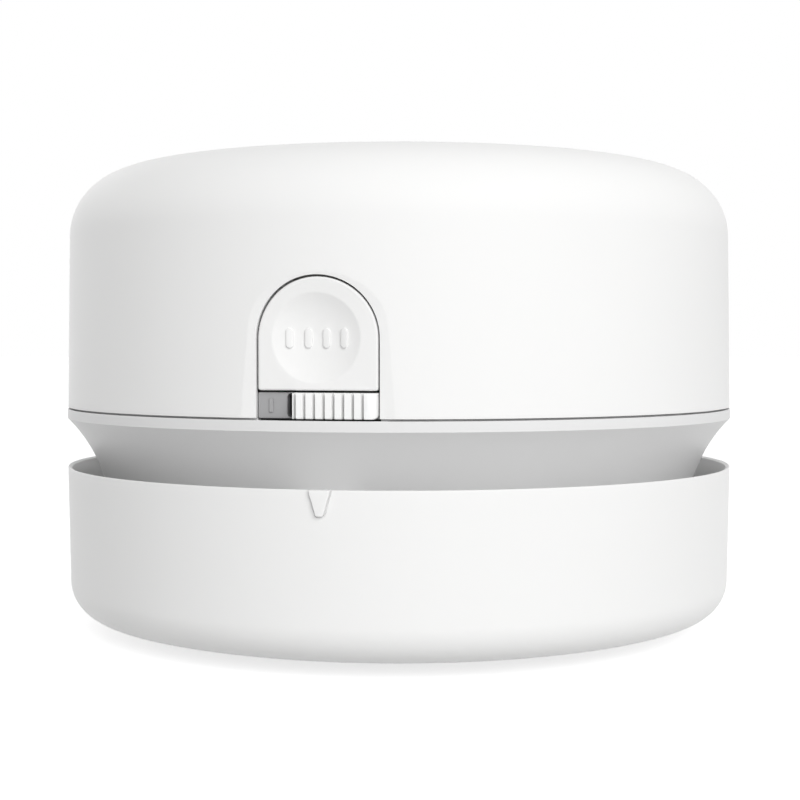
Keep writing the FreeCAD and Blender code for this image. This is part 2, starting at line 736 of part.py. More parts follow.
# ---------------------------------------------------------------- fan and motor
def make_impeller():
    """A closed disc with backward-curved blades on its underside."""
    body = new_body("impeller")
    blade_top = f"({FAN_LOW} + dim.blade_tall)"
    section = sketch_on(body, "XZ_Plane", "fan_section")
    outline(section, [
        ("dim.shaft_radius", FAN_LOW),
        ("dim.hub_radius", FAN_LOW),
        ("dim.hub_radius + 1", blade_top),
        (FAN, blade_top),
        (FAN, FAN_TOP),
        ("dim.shaft_radius", FAN_TOP),
    ])
    turned(body, section, "fan_back")
    blade = sketch_on(body, "XY_Plane", "blade_outline", blade_top)
    tip_x, tip_y = f"({FAN} - 0.4) * cos(38)", f"-({FAN} - 0.4) * sin(38)"
    bow = f"({FAN} * 0.62)"
    back = "dim.blade_thick"
    outline(blade, [
        ("dim.hub_eye", "0", f"-{bow}"),
        (tip_x, tip_y),
        (f"{tip_x} - {back} * sin(38)", f"{tip_y} - {back} * cos(38)", f"({bow} - {back})"),
        ("dim.hub_eye", f"-{back}"),
    ])
    made = pad(body, blade, "blade", "dim.blade_tall", True)
    around(body, [made], "blades", "dim.blade_count")
    keep(body, "impeller")


def make_motor():
    can = new_body("motor_can")
    section = sketch_on(can, "XZ_Plane", "can_section")
    bore = "(dim.nose_radius - 0.8)"
    outline(section, [
        (bore, f"{PLATE_TOP} - dim.nose_tall"),
        ("dim.nose_radius", f"{PLATE_TOP} - dim.nose_tall"),
        ("dim.nose_radius", PLATE_TOP),
        ("dim.motor_radius", PLATE_TOP),
        ("dim.motor_radius", CAN_TOP),
        ("dim.motor_radius - dim.can_wall", CAN_TOP),
        ("dim.motor_radius - dim.can_wall", f"{PLATE_TOP} + dim.can_wall"),
        (bore, f"{PLATE_TOP} + dim.can_wall"),
    ])
    turned(can, section, "can")
    holes = sketch_on(can, "XY_Plane", "can_holes", f"{PLATE_TOP} + dim.can_wall")
    for sign in ("", "-"):
        ring(holes, f"{sign}8", "0", "dim.small_radius")
    pocket(can, holes, "tapped_holes", "dim.can_wall")
    keep(can, "motor_can")

    bell = new_body("motor_end_bell")
    section = sketch_on(bell, "XZ_Plane", "bell_section")
    outline(section, [
        ("dim.shaft_radius + 1.2", f"{CAN_TOP} - 1.6"),
        ("dim.motor_radius - dim.can_wall", f"{CAN_TOP} - 1.6"),
        ("dim.motor_radius - dim.can_wall", CAN_TOP),
        ("dim.motor_radius", CAN_TOP),
        ("dim.motor_radius - 0.6", f"{CAN_TOP} + dim.bell_tall - 0.8"),
        ("3.6", f"{CAN_TOP} + dim.bell_tall - 0.8"),
        ("3.6", f"{CAN_TOP} + dim.bell_tall"),
        ("dim.shaft_radius + 1.2", f"{CAN_TOP} + dim.bell_tall"),
    ])
    turned(bell, section, "bell")
    keep(bell, "motor_end_bell")

    bushes = []
    for i, low in enumerate((f"{PLATE_TOP} - dim.nose_tall", f"{CAN_TOP} - 1.6")):
        sleeve = rod(f"bush_sleeve{i}", "dim.shaft_radius + 1.2", "dim.nose_tall + dim.can_wall",
                     "0", "0", low)
        bore = rod(f"bush_bore{i}", "dim.shaft_radius + dim.shaft_run", "9", "0", "0",
                   f"{low} - 1")
        bushes.append(minus(f"bush_{i}", sleeve, bore))
    keep(group("motor_bushes", bushes), "motor_bushes")

    magnets = new_body("magnet_first")
    section = sketch_on(magnets, "XZ_Plane", "magnet_section", turn="-dim.magnet_turn / 2")
    out = "dim.motor_radius - dim.can_wall"
    low = f"({PLATE_TOP} + 4)"
    block(section, f"{out} - dim.magnet_thick", low, out, f"{low} + dim.stack_tall + 2")
    turned(magnets, section, "magnet", "Revolution", "dim.magnet_turn")
    other = doc.addObject("Part::Mirroring", "magnet_second")
    other.Source = magnets
    other.Normal = FreeCAD.Vector(1, 0, 0)
    keep(group("motor_magnets", [magnets, other]), "motor_magnets")

    tabs = []
    for i, sign in enumerate((-1, 1)):
        tabs.append(brick(f"terminal_{i}", f"{sign * 7} - 1.2", "4", f"{CAN_TOP} + 1.6",
                          "2.4", "0.5", "4.2"))
    keep(group("motor_terminals", tabs), "motor_terminals")

    brushes = []
    for i, sign in enumerate((-1, 1)):
        low_x = f"{sign} * (dim.brass_radius + 1.3) - 1.2"
        brushes.append(brick(f"carbon_{i}", low_x, "-1", f"{CAN_TOP} - 4.2", "2.4", "2", "2.2"))
    keep(group("motor_brushes", brushes), "motor_brushes")


def make_rotor():
    keep(rod("motor_shaft", "dim.shaft_radius", f"{CAN_TOP} + 1.6 - {FAN_LOW}", "0", "0", FAN_LOW),
         "motor_shaft")

    body = new_body("armature")
    low = f"({PLATE_TOP} + 5)"
    pole = "(dim.motor_radius - dim.can_wall - dim.magnet_thick - dim.rotor_gap)"
    core = sketch_on(body, "XY_Plane", "core_outline", low)
    ring(core, "0", "0", f"{pole} * 0.72")
    ring(core, "0", "0", "dim.shaft_radius")
    pad(body, core, "windings", "dim.stack_tall")
    shoe = sketch_on(body, "XZ_Plane", "shoe_section", turn="-50")
    block(shoe, f"{pole} * 0.6", low, pole, f"{low} + dim.stack_tall")
    made = turned(body, shoe, "pole_shoe", "Revolution", "100")
    around(body, [made], "pole_shoes", "3")
    keep(body, "armature")

    sleeve = rod("segments", "dim.brass_radius", "dim.brass_tall", "0", "0",
                 f"{CAN_TOP} - 1.9 - dim.brass_tall")
    bore = rod("segments_bore", "dim.shaft_radius", "dim.brass_tall + 2", "0", "0",
               f"{CAN_TOP} - 2.9 - dim.brass_tall")
    keep(minus("commutator", sleeve, bore), "commutator")


def make_motor_plate():
    body = new_body("motor_plate")
    disc = sketch_on(body, "XY_Plane", "plate_outline", PLATE_LOW)
    ring(disc, "0", "0", f"{NECK} - dim.plate_inset")
    ring(disc, "0", "0", "dim.nose_radius + 0.1")
    pad(body, disc, "plate", "dim.plate_thick")
    collar = sketch_on(body, "XY_Plane", "collar_outline", PLATE_TOP)
    ring(collar, "0", "0", "dim.motor_radius + 1.4")
    ring(collar, "0", "0", "dim.motor_radius + 0.1")
    pad(body, collar, "motor_collar", "2")
    stands = sketch_on(body, "XY_Plane", "stand_outline", PLATE_TOP)
    for x, y in BOARD_SPOTS:
        ring(stands, x, y, "2")
    pad(body, stands, "board_stands", "dim.board_lift")

    cuts = sketch_on(body, "XY_Plane", "plate_cuts", PLATE_TOP)
    for x, y in COLUMN_SPOTS:
        ring(cuts, x, y, "dim.column_radius + 0.25")
    for x, y in POST_SPOTS:
        ring(cuts, x, y, "dim.small_radius + 0.2")
    for sign in ("", "-"):
        ring(cuts, f"{sign}8", "0", "dim.small_radius + 0.2")
    pocket(body, cuts, "plate_holes", "dim.plate_thick + 1")
    slot = sketch_on(body, "XY_Plane", "arm_slot_outline", PLATE_TOP)
    block(slot, "-dim.arm_half - 0.4", f"-{NECK}", "dim.arm_half + 0.4",
          f"-{BRACKET_FRONT}")
    pocket(body, slot, "arm_slot", "dim.plate_thick + 1")
    pilots = sketch_on(body, "XY_Plane", "stand_pilots", BOARD_LOW)
    for x, y in BOARD_SPOTS:
        ring(pilots, x, y, "dim.small_radius")
    pocket(body, pilots, "stand_holes", "3.5")
    foot_holes = sketch_on(body, "XY_Plane", "bracket_pilots", PLATE_TOP)
    for x, y in BRACKET_SPOTS:
        ring(foot_holes, x, y, "dim.small_radius")
    pocket(body, foot_holes, "bracket_holes", "dim.plate_thick + 1")
    keep(body, "motor_plate")


# ---------------------------------------------------------------- shell
def shell_outline(inset, low):
    """Half the shell's section, as a filled shape that lies a given inset inside the outside."""
    draft, first, second = "dim.shell_draft", "dim.shoulder_turn", "dim.crown_turn"
    shift = "(dim.shoulder_radius - dim.crown_radius)"
    hub2_y = f"({SHELL_TOP} - dim.dome_rise - dim.crown_radius * sin({second}))"
    hub_y = f"({hub2_y} - {shift} * sin({first}))"
    wall_top = f"({hub_y} + dim.shoulder_radius * sin({draft}))"
    wall_at = f"({SHELL} - ({wall_top} - {SEAM}) * tan({draft}))"
    hub_x = f"({wall_at} - dim.shoulder_radius * cos({draft}))"
    hub2_x = f"({hub_x} + {shift} * cos({first}))"
    small = f"(dim.shoulder_radius - {inset})"
    large = f"(dim.crown_radius - {inset})"
    edge_x = f"({hub2_x} + {large} * cos({second}))"
    edge_y = f"({hub2_y} + {large} * sin({second}))"
    top = f"({SHELL_TOP} - {inset})"
    rise = f"({top} - {edge_y})"
    dome = f"(({edge_x}^2 + {rise}^2) / (2 * {rise}))"
    return [
        ("0", low),
        (f"{SHELL} - {inset} / cos({draft}) + ({SEAM} - {low}) * tan({draft})", low),
        (f"{hub_x} + {small} * cos({draft})", f"{hub_y} + {small} * sin({draft})", small),
        (f"{hub_x} + {small} * cos({first})", f"{hub_y} + {small} * sin({first})", large),
        (edge_x, edge_y, dome),
        ("0", top),
    ]


def facet_cutter(name, face):
    """Everything in front of the flat facet, which sweeps out to the shell above the button."""
    body = new_body(name)
    side = sketch_on(body, "YZ_Plane", f"{name}_side", "-12")
    bend = f"({SEAM} + dim.facet_flat)"
    reach = "6.4"
    out = f"(dim.facet_sweep - sqrt(dim.facet_sweep^2 - {reach}^2))"
    outline(side, [
        (f"-{face} - 6", f"{SEAM} - 1"),
        (f"-{face}", f"{SEAM} - 1"),
        (f"-{face}", bend, "dim.facet_sweep"),
        (f"-{face} - {out}", f"{bend} + {reach}"),
        (f"-{face} - 6", f"{bend} + {reach}"),
    ])
    pad(body, side, f"{name}_pad", "24")
    return body


def arch(sketch, half, low):
    """A window shape: straight sides with a half-round top."""
    level = f"{SEAM} + dim.arch_level"
    outline(sketch, [(f"-{half}", low), (half, low), (half, level, half),
                     ("0", f"{level} + {half}", half), (f"-{half}", level)])


def make_top_cover():
    solid = new_body("shell_solid")
    section = sketch_on(solid, "XZ_Plane", "shell_section")
    outline(section, shell_outline("0", SEAM))
    turned(solid, section, "shell_turn")
    hollow = new_body("shell_hollow")
    section = sketch_on(hollow, "XZ_Plane", "hollow_section")
    outline(section, shell_outline("dim.shell_wall", f"({SEAM} - 1)"))
    turned(hollow, section, "hollow_turn")

    boss_low = f"({COLUMN_TOP} + dim.seat_gap)"
    boss_top = f"({SHELL_TOP} - dim.shell_wall)"
    bosses = fused("bosses", [
        rod(f"boss_{i}", "dim.boss_radius", f"{boss_top} - {boss_low}", x, y, boss_low)
        for i, (x, y) in enumerate(COLUMN_SPOTS)])
    pilots = [
        rod(f"boss_pilot{i}", "dim.screw_radius", f"{SEAM} + 8 - {boss_low}", x, y,
            f"{boss_low} - 1")
        for i, (x, y) in enumerate(COLUMN_SPOTS)]
    blank = fused("shell_blank", [solid, bosses])
    room = minus("shell_room", hollow, bosses)

    window = new_body("window_cutter")
    shape = sketch_on(window, "XZ_Plane", "window_outline", f"{SHELL} - 6")
    arch(shape, "dim.window_half", f"{SEAM} - 1")
    pad(window, shape, "window_pad", "12")
    port = new_body("port_cutter")
    shape = sketch_on(port, "XZ_Plane", "port_outline", f"-{SHELL} - 4")
    high = "(dim.socket_tall / 2 + 0.2)"
    flat = f"(dim.socket_half + 0.2 - {high})"
    outline(shape, [
        (f"-{flat}", f"{SOCKET_LEVEL} - {high}"),
        (flat, f"{SOCKET_LEVEL} - {high}", high),
        (f"{flat} + {high}", SOCKET_LEVEL, high),
        (flat, f"{SOCKET_LEVEL} + {high}"),
        (f"-{flat}", f"{SOCKET_LEVEL} + {high}", high),
        (f"-{flat} - {high}", SOCKET_LEVEL, high),
    ])
    pad(port, shape, "port_pad", "8")

    cuts = [room, facet_cutter("shell_facet", FACE), window, port] + pilots
    cover = blank
    for i, tool in enumerate(cuts):
        cover = minus(f"cover_step{i}", cover, tool)
    keep(cover, "top_cover")


# ---------------------------------------------------------------- button and latch
def make_button():
    body = new_body("button_cap")
    half = "(dim.window_half - dim.button_gap)"
    low = f"{SEAM} + dim.button_low"
    face = sketch_on(body, "XZ_Plane", "button_outline", FLANGE_BACK)
    arch(face, half, low)
    pad(body, face, "button_block", f"{FACE} + 3 - {FLANGE_BACK}")
    flange = sketch_on(body, "XZ_Plane", "flange_outline", FLANGE_BACK)
    arch(flange, "(dim.window_half + dim.flange_wide)", f"{low} + 0.1")
    pad(body, flange, "button_flange", "dim.flange_thick")
    seat = sketch_on(body, "XZ_Plane", "spring_seat_outline", FLANGE_BACK)
    ring(seat, "0", SPRING_LEVEL, "dim.spring_radius + 1.1")
    ring(seat, "0", SPRING_LEVEL, "dim.spring_radius + dim.spring_wire + 0.25")
    pad(body, seat, "spring_seat", "1.2", True)

    front = f"({FACE} - dim.button_sunk)"
    flush = minus("button_flush", body, facet_cutter("button_facet", front))
    size = "((dim.dish_radius^2 + dim.dish_deep^2) / (2 * dim.dish_deep))"
    centre_y = f"-{front} - {size} + dim.dish_deep"
    level = f"{SEAM} + dim.dish_level"
    dish = doc.addObject("Part::Sphere", "dish")
    dish.setExpression("Radius", size)
    place(dish, "0", centre_y, level)
    dished = minus("button_dished", flush, dish)

    ticks = new_body("tick_blanks")
    shape = sketch_on(ticks, "XZ_Plane", "tick_outline", f"{front} - 1")
    wide, tall = "dim.tick_radius", "dim.tick_half"
    for i in range(int(SIZES["tick_count"])):
        x = f"({i} - (dim.tick_count - 1) / 2) * dim.tick_pitch"
        outline(shape, [
            (f"{x} - {wide}", f"{level} - {tall}", wide),
            (x, f"{level} - {tall} - {wide}", wide),
            (f"{x} + {wide}", f"{level} - {tall}"),
            (f"{x} + {wide}", f"{level} + {tall}", wide),
            (x, f"{level} + {tall} + {wide}", wide),
            (f"{x} - {wide}", f"{level} + {tall}"),
        ])
    pad(ticks, shape, "tick_pad", "1")
    trim = doc.addObject("Part::Sphere", "tick_trim")
    trim.setExpression("Radius", f"{size} - dim.tick_rise")
    place(trim, "0", centre_y, level)
    raised = minus("ticks", ticks, trim)
    keep(fused("push_button", [dished, raised]), "push_button")


def make_latch_hook():
    """The arm that runs from the button down through the deck to the nose in the neck."""
    body = new_body("latch_hook")
    side = sketch_on(body, "YZ_Plane", "hook_side", "-dim.arm_half")
    top = f"({SEAM} + dim.button_low + 3)"
    under = f"({SEAM} + dim.button_low + 0.5)"
    outline(side, [
        (f"-{FLANGE_BACK}", under),
        (f"-{ARM_FRONT}", under),
        (f"-{ARM_FRONT}", NOSE_TOP),
        (f"-{NOSE_REACH} + dim.nose_thick", NOSE_TOP),
        (f"-{NOSE_REACH}", f"{NOSE_LOW} + 0.5"),
        (f"-{NOSE_REACH}", NOSE_LOW),
        (f"-{ARM_BACK}", NOSE_LOW),
        (f"-{ARM_BACK}", top),
        (f"-{FLANGE_BACK}", top),
    ])
    pad(body, side, "hook", "2 * dim.arm_half")
    keep(body, "latch_hook")


BRACKET_SPOTS = [("-5", f"-{BRACKET_BACK} + 4"), ("5", f"-{BRACKET_BACK} + 4")]


def make_latch_bracket():
    body = new_body("latch_bracket")
    side = sketch_on(body, "YZ_Plane", "bracket_side", "-dim.bracket_half")
    foot = "1.4"
    outline(side, [
        (f"-{BRACKET_FRONT}", PLATE_TOP),
        (f"-{BRACKET_BACK} + 6.4", PLATE_TOP),
        (f"-{BRACKET_BACK} + 6.4", f"{PLATE_TOP} + {foot}"),
        (f"-{BRACKET_BACK}", f"{PLATE_TOP} + {foot}"),
        (f"-{BRACKET_BACK}", f"{SPRING_LEVEL} + 5"),
        (f"-{BRACKET_FRONT}", f"{SPRING_LEVEL} + 5"),
    ])
    pad(body, side, "bracket", "2 * dim.bracket_half")
    pin = sketch_on(body, "XZ_Plane", "spring_pin_outline", BRACKET_FRONT)
    ring(pin, "0", SPRING_LEVEL, "dim.spring_radius - dim.spring_wire - 0.25")
    pad(body, pin, "spring_pin", "3.2")
    holes = sketch_on(body, "XY_Plane", "foot_holes", f"{PLATE_TOP} + {foot}")
    for x, y in BRACKET_SPOTS:
        ring(holes, x, y, "dim.small_radius + 0.1")
    pocket(body, holes, "foot_bores", foot)
    keep(body, "latch_bracket")
    screw_set("bracket_screws", BRACKET_SPOTS, f"({PLATE_TOP} + {foot})", "2.8", "small", False)


def make_button_spring():
    """A round-wire compression spring between the bracket and the button."""
    long = num(f"{FLANGE_BACK} - {BRACKET_FRONT} - 2 * dim.spring_wire")
    radius, turns = num("dim.spring_radius"), num("dim.spring_turns")
    start, heading = FreeCAD.Vector(radius, 0, 0), FreeCAD.Vector(0, 1, 0)
    path = Part.makeHelix(long / turns, long, radius)
    wire = Part.Wire(Part.makeCircle(num("dim.spring_wire"), start, heading))
    spring = doc.addObject("Part::Feature", "button_spring")
    spring.Shape = path.makePipeShell([wire], True, True)
    place(spring, "0", f"-{BRACKET_FRONT} - dim.spring_wire", SPRING_LEVEL, (1, 0, 0), 90)
    keep(spring, "button_spring")


# ---------------------------------------------------------------- slide switch
def make_indicator_plate():
    """The sunk label plate under the slider, with its slot and its plain on and off marks."""
    body = new_body("indicator_plate")
    low, high = f"({SEAM} + dim.strip_low)", f"({SEAM} + dim.strip_top)"
    half = "(dim.window_half - dim.button_gap)"
    plate = sketch_on(body, "XZ_Plane", "label_outline", LABEL_BACK)
    block(plate, f"-{half}", low, half, high)
    pad(body, plate, "label", "dim.label_thick")
    back = sketch_on(body, "XZ_Plane", "label_flange_outline", LABEL_BACK)
    block(back, "-dim.label_half", f"{SEAM} - 0.75", "dim.label_half", f"{high} - 0.1")
    pad(body, back, "label_flange", "0.8", True)
    legs = sketch_on(body, "XZ_Plane", "label_legs_outline", f"{LABEL_BACK} - 0.8")
    block(legs, "-dim.label_half", f"{SEAM} - 0.75", "-dim.label_half + 1.4", f"{high} - 0.1")
    block(legs, "dim.label_half - 1.4", f"{SEAM} - 0.75", "dim.label_half", f"{high} - 0.1")
    pad(body, legs, "label_legs", f"{LABEL_BACK} - 0.8 - {SWITCH_BACK}", True)

    slot = sketch_on(body, "XZ_Plane", "slot_outline", LABEL_FRONT)
    reach = "(dim.knob_travel / 2 + dim.stem_half + 0.06)"
    tall = "(dim.stem_tall / 2 + 0.15)"
    block(slot, f"-{reach}", f"{STRIP_LEVEL} - {tall}", reach, f"{STRIP_LEVEL} + {tall}")
    pocket(body, slot, "stem_slot", "dim.label_thick + 0.8")
    marks = sketch_on(body, "XZ_Plane", "mark_outline", LABEL_FRONT)
    block(marks, "-4.9", f"{STRIP_LEVEL} - 0.7", "-4.6", f"{STRIP_LEVEL} + 0.7")
    pad(body, marks, "on_mark", "0.08")
    zero = sketch_on(body, "XZ_Plane", "zero_outline", LABEL_FRONT)
    ring(zero, "4.75", STRIP_LEVEL, "0.72")
    ring(zero, "4.75", STRIP_LEVEL, "0.44")
    pad(body, zero, "off_mark", "0.08")
    keep(body, "indicator_plate")


def make_switch_knob():
    body = new_body("switch_knob")
    low, high = f"({SEAM} + dim.strip_low)", f"({SEAM} + dim.strip_top - 0.03)"
    front = f"({FACE} + dim.knob_proud)"
    end = "0.45"
    top = sketch_on(body, "XY_Plane", "knob_outline", low)
    outline(top, [
        ("dim.knob_left", f"-{front}"),
        (f"dim.knob_right - {end}", f"-{front}", end),
        ("dim.knob_right", f"-{front} + {end}"),
        ("dim.knob_right", f"-{front} + dim.knob_thick"),
        ("dim.knob_left", f"-{front} + dim.knob_thick"),
    ])
    pad(body, top, "knob", f"{high} - {low}")
    stem = sketch_on(body, "XZ_Plane", "stem_outline", f"{front} - dim.knob_thick")
    rest = "dim.knob_travel / 2"
    block(stem, f"{rest} - dim.stem_half", f"{STRIP_LEVEL} - dim.stem_tall / 2",
          f"{rest} + dim.stem_half", f"{STRIP_LEVEL} + dim.stem_tall / 2")
    pad(body, stem, "stem", f"{front} - dim.knob_thick - {SWITCH_FRONT} - 1", True)
    groove = sketch_on(body, "XZ_Plane", "groove_outline", front)
    block(groove, "dim.knob_left + 0.12", f"{low} - 1", "dim.knob_left + 0.12 + dim.groove_wide",
          f"{high} + 1")
    cut = pocket(body, groove, "groove", "dim.groove_deep")
    row = body.newObject("PartDesign::LinearPattern", "grooves")
    row.Originals = [cut]
    row.Direction = (origin_part(body, "X_Axis"), [""])
    row.setExpression("Length", "dim.groove_pitch * (dim.groove_count - 1)")
    row.setExpression("Occurrences", "dim.groove_count")
    body.Tip = row
    doc.recompute()
    keep(body, "switch_knob")


def make_slide_switch():
    body = new_body("slide_switch_body")
    high = "1.3"
    case = sketch_on(body, "XZ_Plane", "case_outline", SWITCH_BACK)
    block(case, "-dim.switch_half", f"{STRIP_LEVEL} - {high}", "dim.switch_half",
          f"{STRIP_LEVEL} + {high}")
    pad(body, case, "case", "dim.switch_deep")
    track = sketch_on(body, "XZ_Plane", "track_outline", SWITCH_FRONT)
    reach = "(dim.knob_travel / 2 + 0.8 + 0.15)"
    block(track, f"-{reach}", f"{STRIP_LEVEL} - 0.75", reach, f"{STRIP_LEVEL} + 0.75")
    pocket(body, track, "track", "1.4")
    keep(body, "slide_switch_body")
    rest = "dim.knob_travel / 2"
    keep(brick("slide_switch_lever", f"{rest} - 0.8", f"-{SWITCH_FRONT} - 1",
               f"{STRIP_LEVEL} - 0.6", "1.6", "2.2", "1.2"), "slide_switch_lever")
    board_low = f"({SEAM} - 2.4)"
    tall = f"{SEAM} + dim.button_low - 0.1 - {board_low}"
    keep(brick("switch_board", "-dim.label_half", f"-{SWITCH_BACK}", board_low,
               "2 * dim.label_half", "dim.board_thick", tall), "switch_board")


# ---------------------------------------------------------------- power
BOARD_SPOTS = [(f"{sign}(dim.board_half - 2.7)", f"{MAIN_FRONT} + 3") for sign in ("-", "")]
BLOCK_HALF = "(dim.cell_long / 2 - 1)"
# Left edge, share of the board's depth, length, width and height of each chip.
CHIPS = [("-6", "0.255", "5", "4", "1.0"), ("2", "0.204", "3", "3", "0.9"),
         ("-3", "0.587", "4", "2.5", "1.0"), ("6.5", "0.51", "2", "3.5", "0.8")]


def make_battery():
    cell = new_body("battery_cell")
    side = sketch_on(cell, "YZ_Plane", "cell_outline", "-dim.cell_long / 2")
    ring(side, CELL_BACK, CELL_LEVEL, "dim.cell_radius")
    pad(cell, side, "cell", "dim.cell_long - 1")
    tip = sketch_on(cell, "YZ_Plane", "cell_tip", "dim.cell_long / 2 - 1")
    ring(tip, CELL_BACK, CELL_LEVEL, "2.4")
    pad(cell, tip, "nub", "1")
    keep(cell, "battery_cell")

    cradle = new_body("battery_cradle")
    front = sketch_on(cradle, "XZ_Plane", "cradle_outline", f"-{CELL_BACK} - dim.cradle_half")
    leg_in = "(dim.board_half + 1.4)"
    web_low = f"({BOARD_TOP} + 1.2)"
    outline(front, [
        (f"-{BLOCK_HALF}", PLATE_TOP), (f"-{leg_in}", PLATE_TOP), (f"-{leg_in}", web_low),
        (leg_in, web_low), (leg_in, PLATE_TOP), (BLOCK_HALF, PLATE_TOP),
        (BLOCK_HALF, f"{CELL_LEVEL} - 1.5"), (f"-{BLOCK_HALF}", f"{CELL_LEVEL} - 1.5"),
    ])
    pad(cradle, front, "cradle", "2 * dim.cradle_half")
    seat = sketch_on(cradle, "YZ_Plane", "seat_outline", "-30")
    ring(seat, CELL_BACK, CELL_LEVEL, "dim.cell_radius + 0.1")
    pocket(cradle, seat, "cell_seat", "60", True)
    gap = sketch_on(cradle, "XZ_Plane", "finger_gap_outline", f"-{CELL_BACK} - dim.cell_radius")
    block(gap, f"-{leg_in}", f"{web_low} + 1.5", leg_in, f"{CELL_LEVEL} + 1")
    pocket(cradle, gap, "finger_gap", "2 * dim.cell_radius", True)
    keep(cradle, "battery_cradle")

    tabs = []
    for i, x in enumerate(("-dim.cell_long / 2 - 0.3", "dim.cell_long / 2")):
        tabs.append(brick(f"contact_{i}", x, f"{CELL_BACK} - 2.5", f"{CELL_LEVEL} - 6.5", "0.3",
                          "5", "10"))
    keep(group("battery_tabs", tabs), "battery_tabs")


def make_control_board():
    body = new_body("control_board")
    shape = sketch_on(body, "XY_Plane", "board_outline", BOARD_LOW)
    block(shape, "-dim.board_half", MAIN_FRONT, "dim.board_half", MAIN_BACK)
    pad(body, shape, "board", "dim.main_board")
    holes = sketch_on(body, "XY_Plane", "board_holes", BOARD_TOP)
    for x, y in BOARD_SPOTS:
        ring(holes, x, y, "dim.small_radius + 0.1")
    pocket(body, holes, "board_bores", "dim.main_board")
    keep(body, "control_board")
    screw_set("board_screws", BOARD_SPOTS, BOARD_TOP, "4.2", "small", False)

    chips = []
    for i, (x, share, long, wide, tall) in enumerate(CHIPS):
        y = f"{MAIN_FRONT} + {share} * ({MAIN_BACK} - {MAIN_FRONT})"
        chips.append(brick(f"chip_{i}", x, y, BOARD_TOP, long, wide, tall))
    keep(group("board_chips", chips), "board_chips")


def stadium(sketch, half, high, level):
    flat = f"({half} - {high})"
    outline(sketch, [
        (f"-{flat}", f"{level} - {high}"),
        (flat, f"{level} - {high}", high),
        (half, level, high),
        (flat, f"{level} + {high}"),
        (f"-{flat}", f"{level} + {high}", high),
        (f"-{half}", level, high),
    ])


def make_charge_socket():
    """The charging socket: a pressed steel shell with a tongue inside."""
    body = new_body("charge_socket")
    shape = sketch_on(body, "XZ_Plane", "socket_outline", f"-{SOCKET_FRONT}")
    stadium(shape, "dim.socket_half", "(dim.socket_tall / 2)", SOCKET_LEVEL)
    pad(body, shape, "socket_block", "dim.socket_deep")
    mouth = sketch_on(body, "XZ_Plane", "mouth_outline", f"-{SOCKET_FRONT}")
    stadium(mouth, "(dim.socket_half - dim.socket_skin)",
            "(dim.socket_tall / 2 - dim.socket_skin)", SOCKET_LEVEL)
    pocket(body, mouth, "mouth", "dim.socket_deep - 1", True)
    tongue = sketch_on(body, "XZ_Plane", "tongue_outline", f"-{SOCKET_FRONT} + 1")
    block(tongue, "-3.3", f"{SOCKET_LEVEL} - 0.35", "3.3", f"{SOCKET_LEVEL} + 0.35")
    pad(body, tongue, "tongue", "dim.socket_deep - 1.5")
    keep(body, "charge_socket")


# ---------------------------------------------------------------- leads
def rounded_path(points):
    """Straight runs joined by tangent arcs, each as large as its two runs allow."""
    edges = []
    start = points[0]
    for before, corner, after in zip(points, points[1:], points[2:]):
        back = (before - corner)
        ahead = (after - corner)
        reach = 0.45 * min(back.Length, ahead.Length)
        back.normalize()
        ahead.normalize()
        enter = corner + back * reach
        leave = corner + ahead * reach
        half = back.getAngle(ahead) / 2
        inward = (back + ahead).normalize()
        radius = reach * math.tan(half)
        middle = corner + inward * (radius / math.sin(half) - radius)
        edges.append(Part.LineSegment(start, enter).toShape())
        edges.append(Part.Arc(enter, middle, leave).toShape())
        start = leave
    edges.append(Part.LineSegment(start, points[-1]).toShape())
    return Part.Wire(edges)


def lead(points):
    """One insulated wire along a route of corner points."""
    spots = [FreeCAD.Vector(*(num(value) for value in spot)) for spot in points]
    path = rounded_path(spots)
    heading = spots[1] - spots[0]
    profile = Part.Wire(Part.makeCircle(num("dim.lead_radius"), spots[0], heading))
    return path.makePipeShell([profile], True, True)


def lead_set(label, routes):
    feature_object = doc.addObject("Part::Feature", label)
    feature_object.Shape = Part.makeCompound([lead(route) for route in routes])
    keep(feature_object, label)


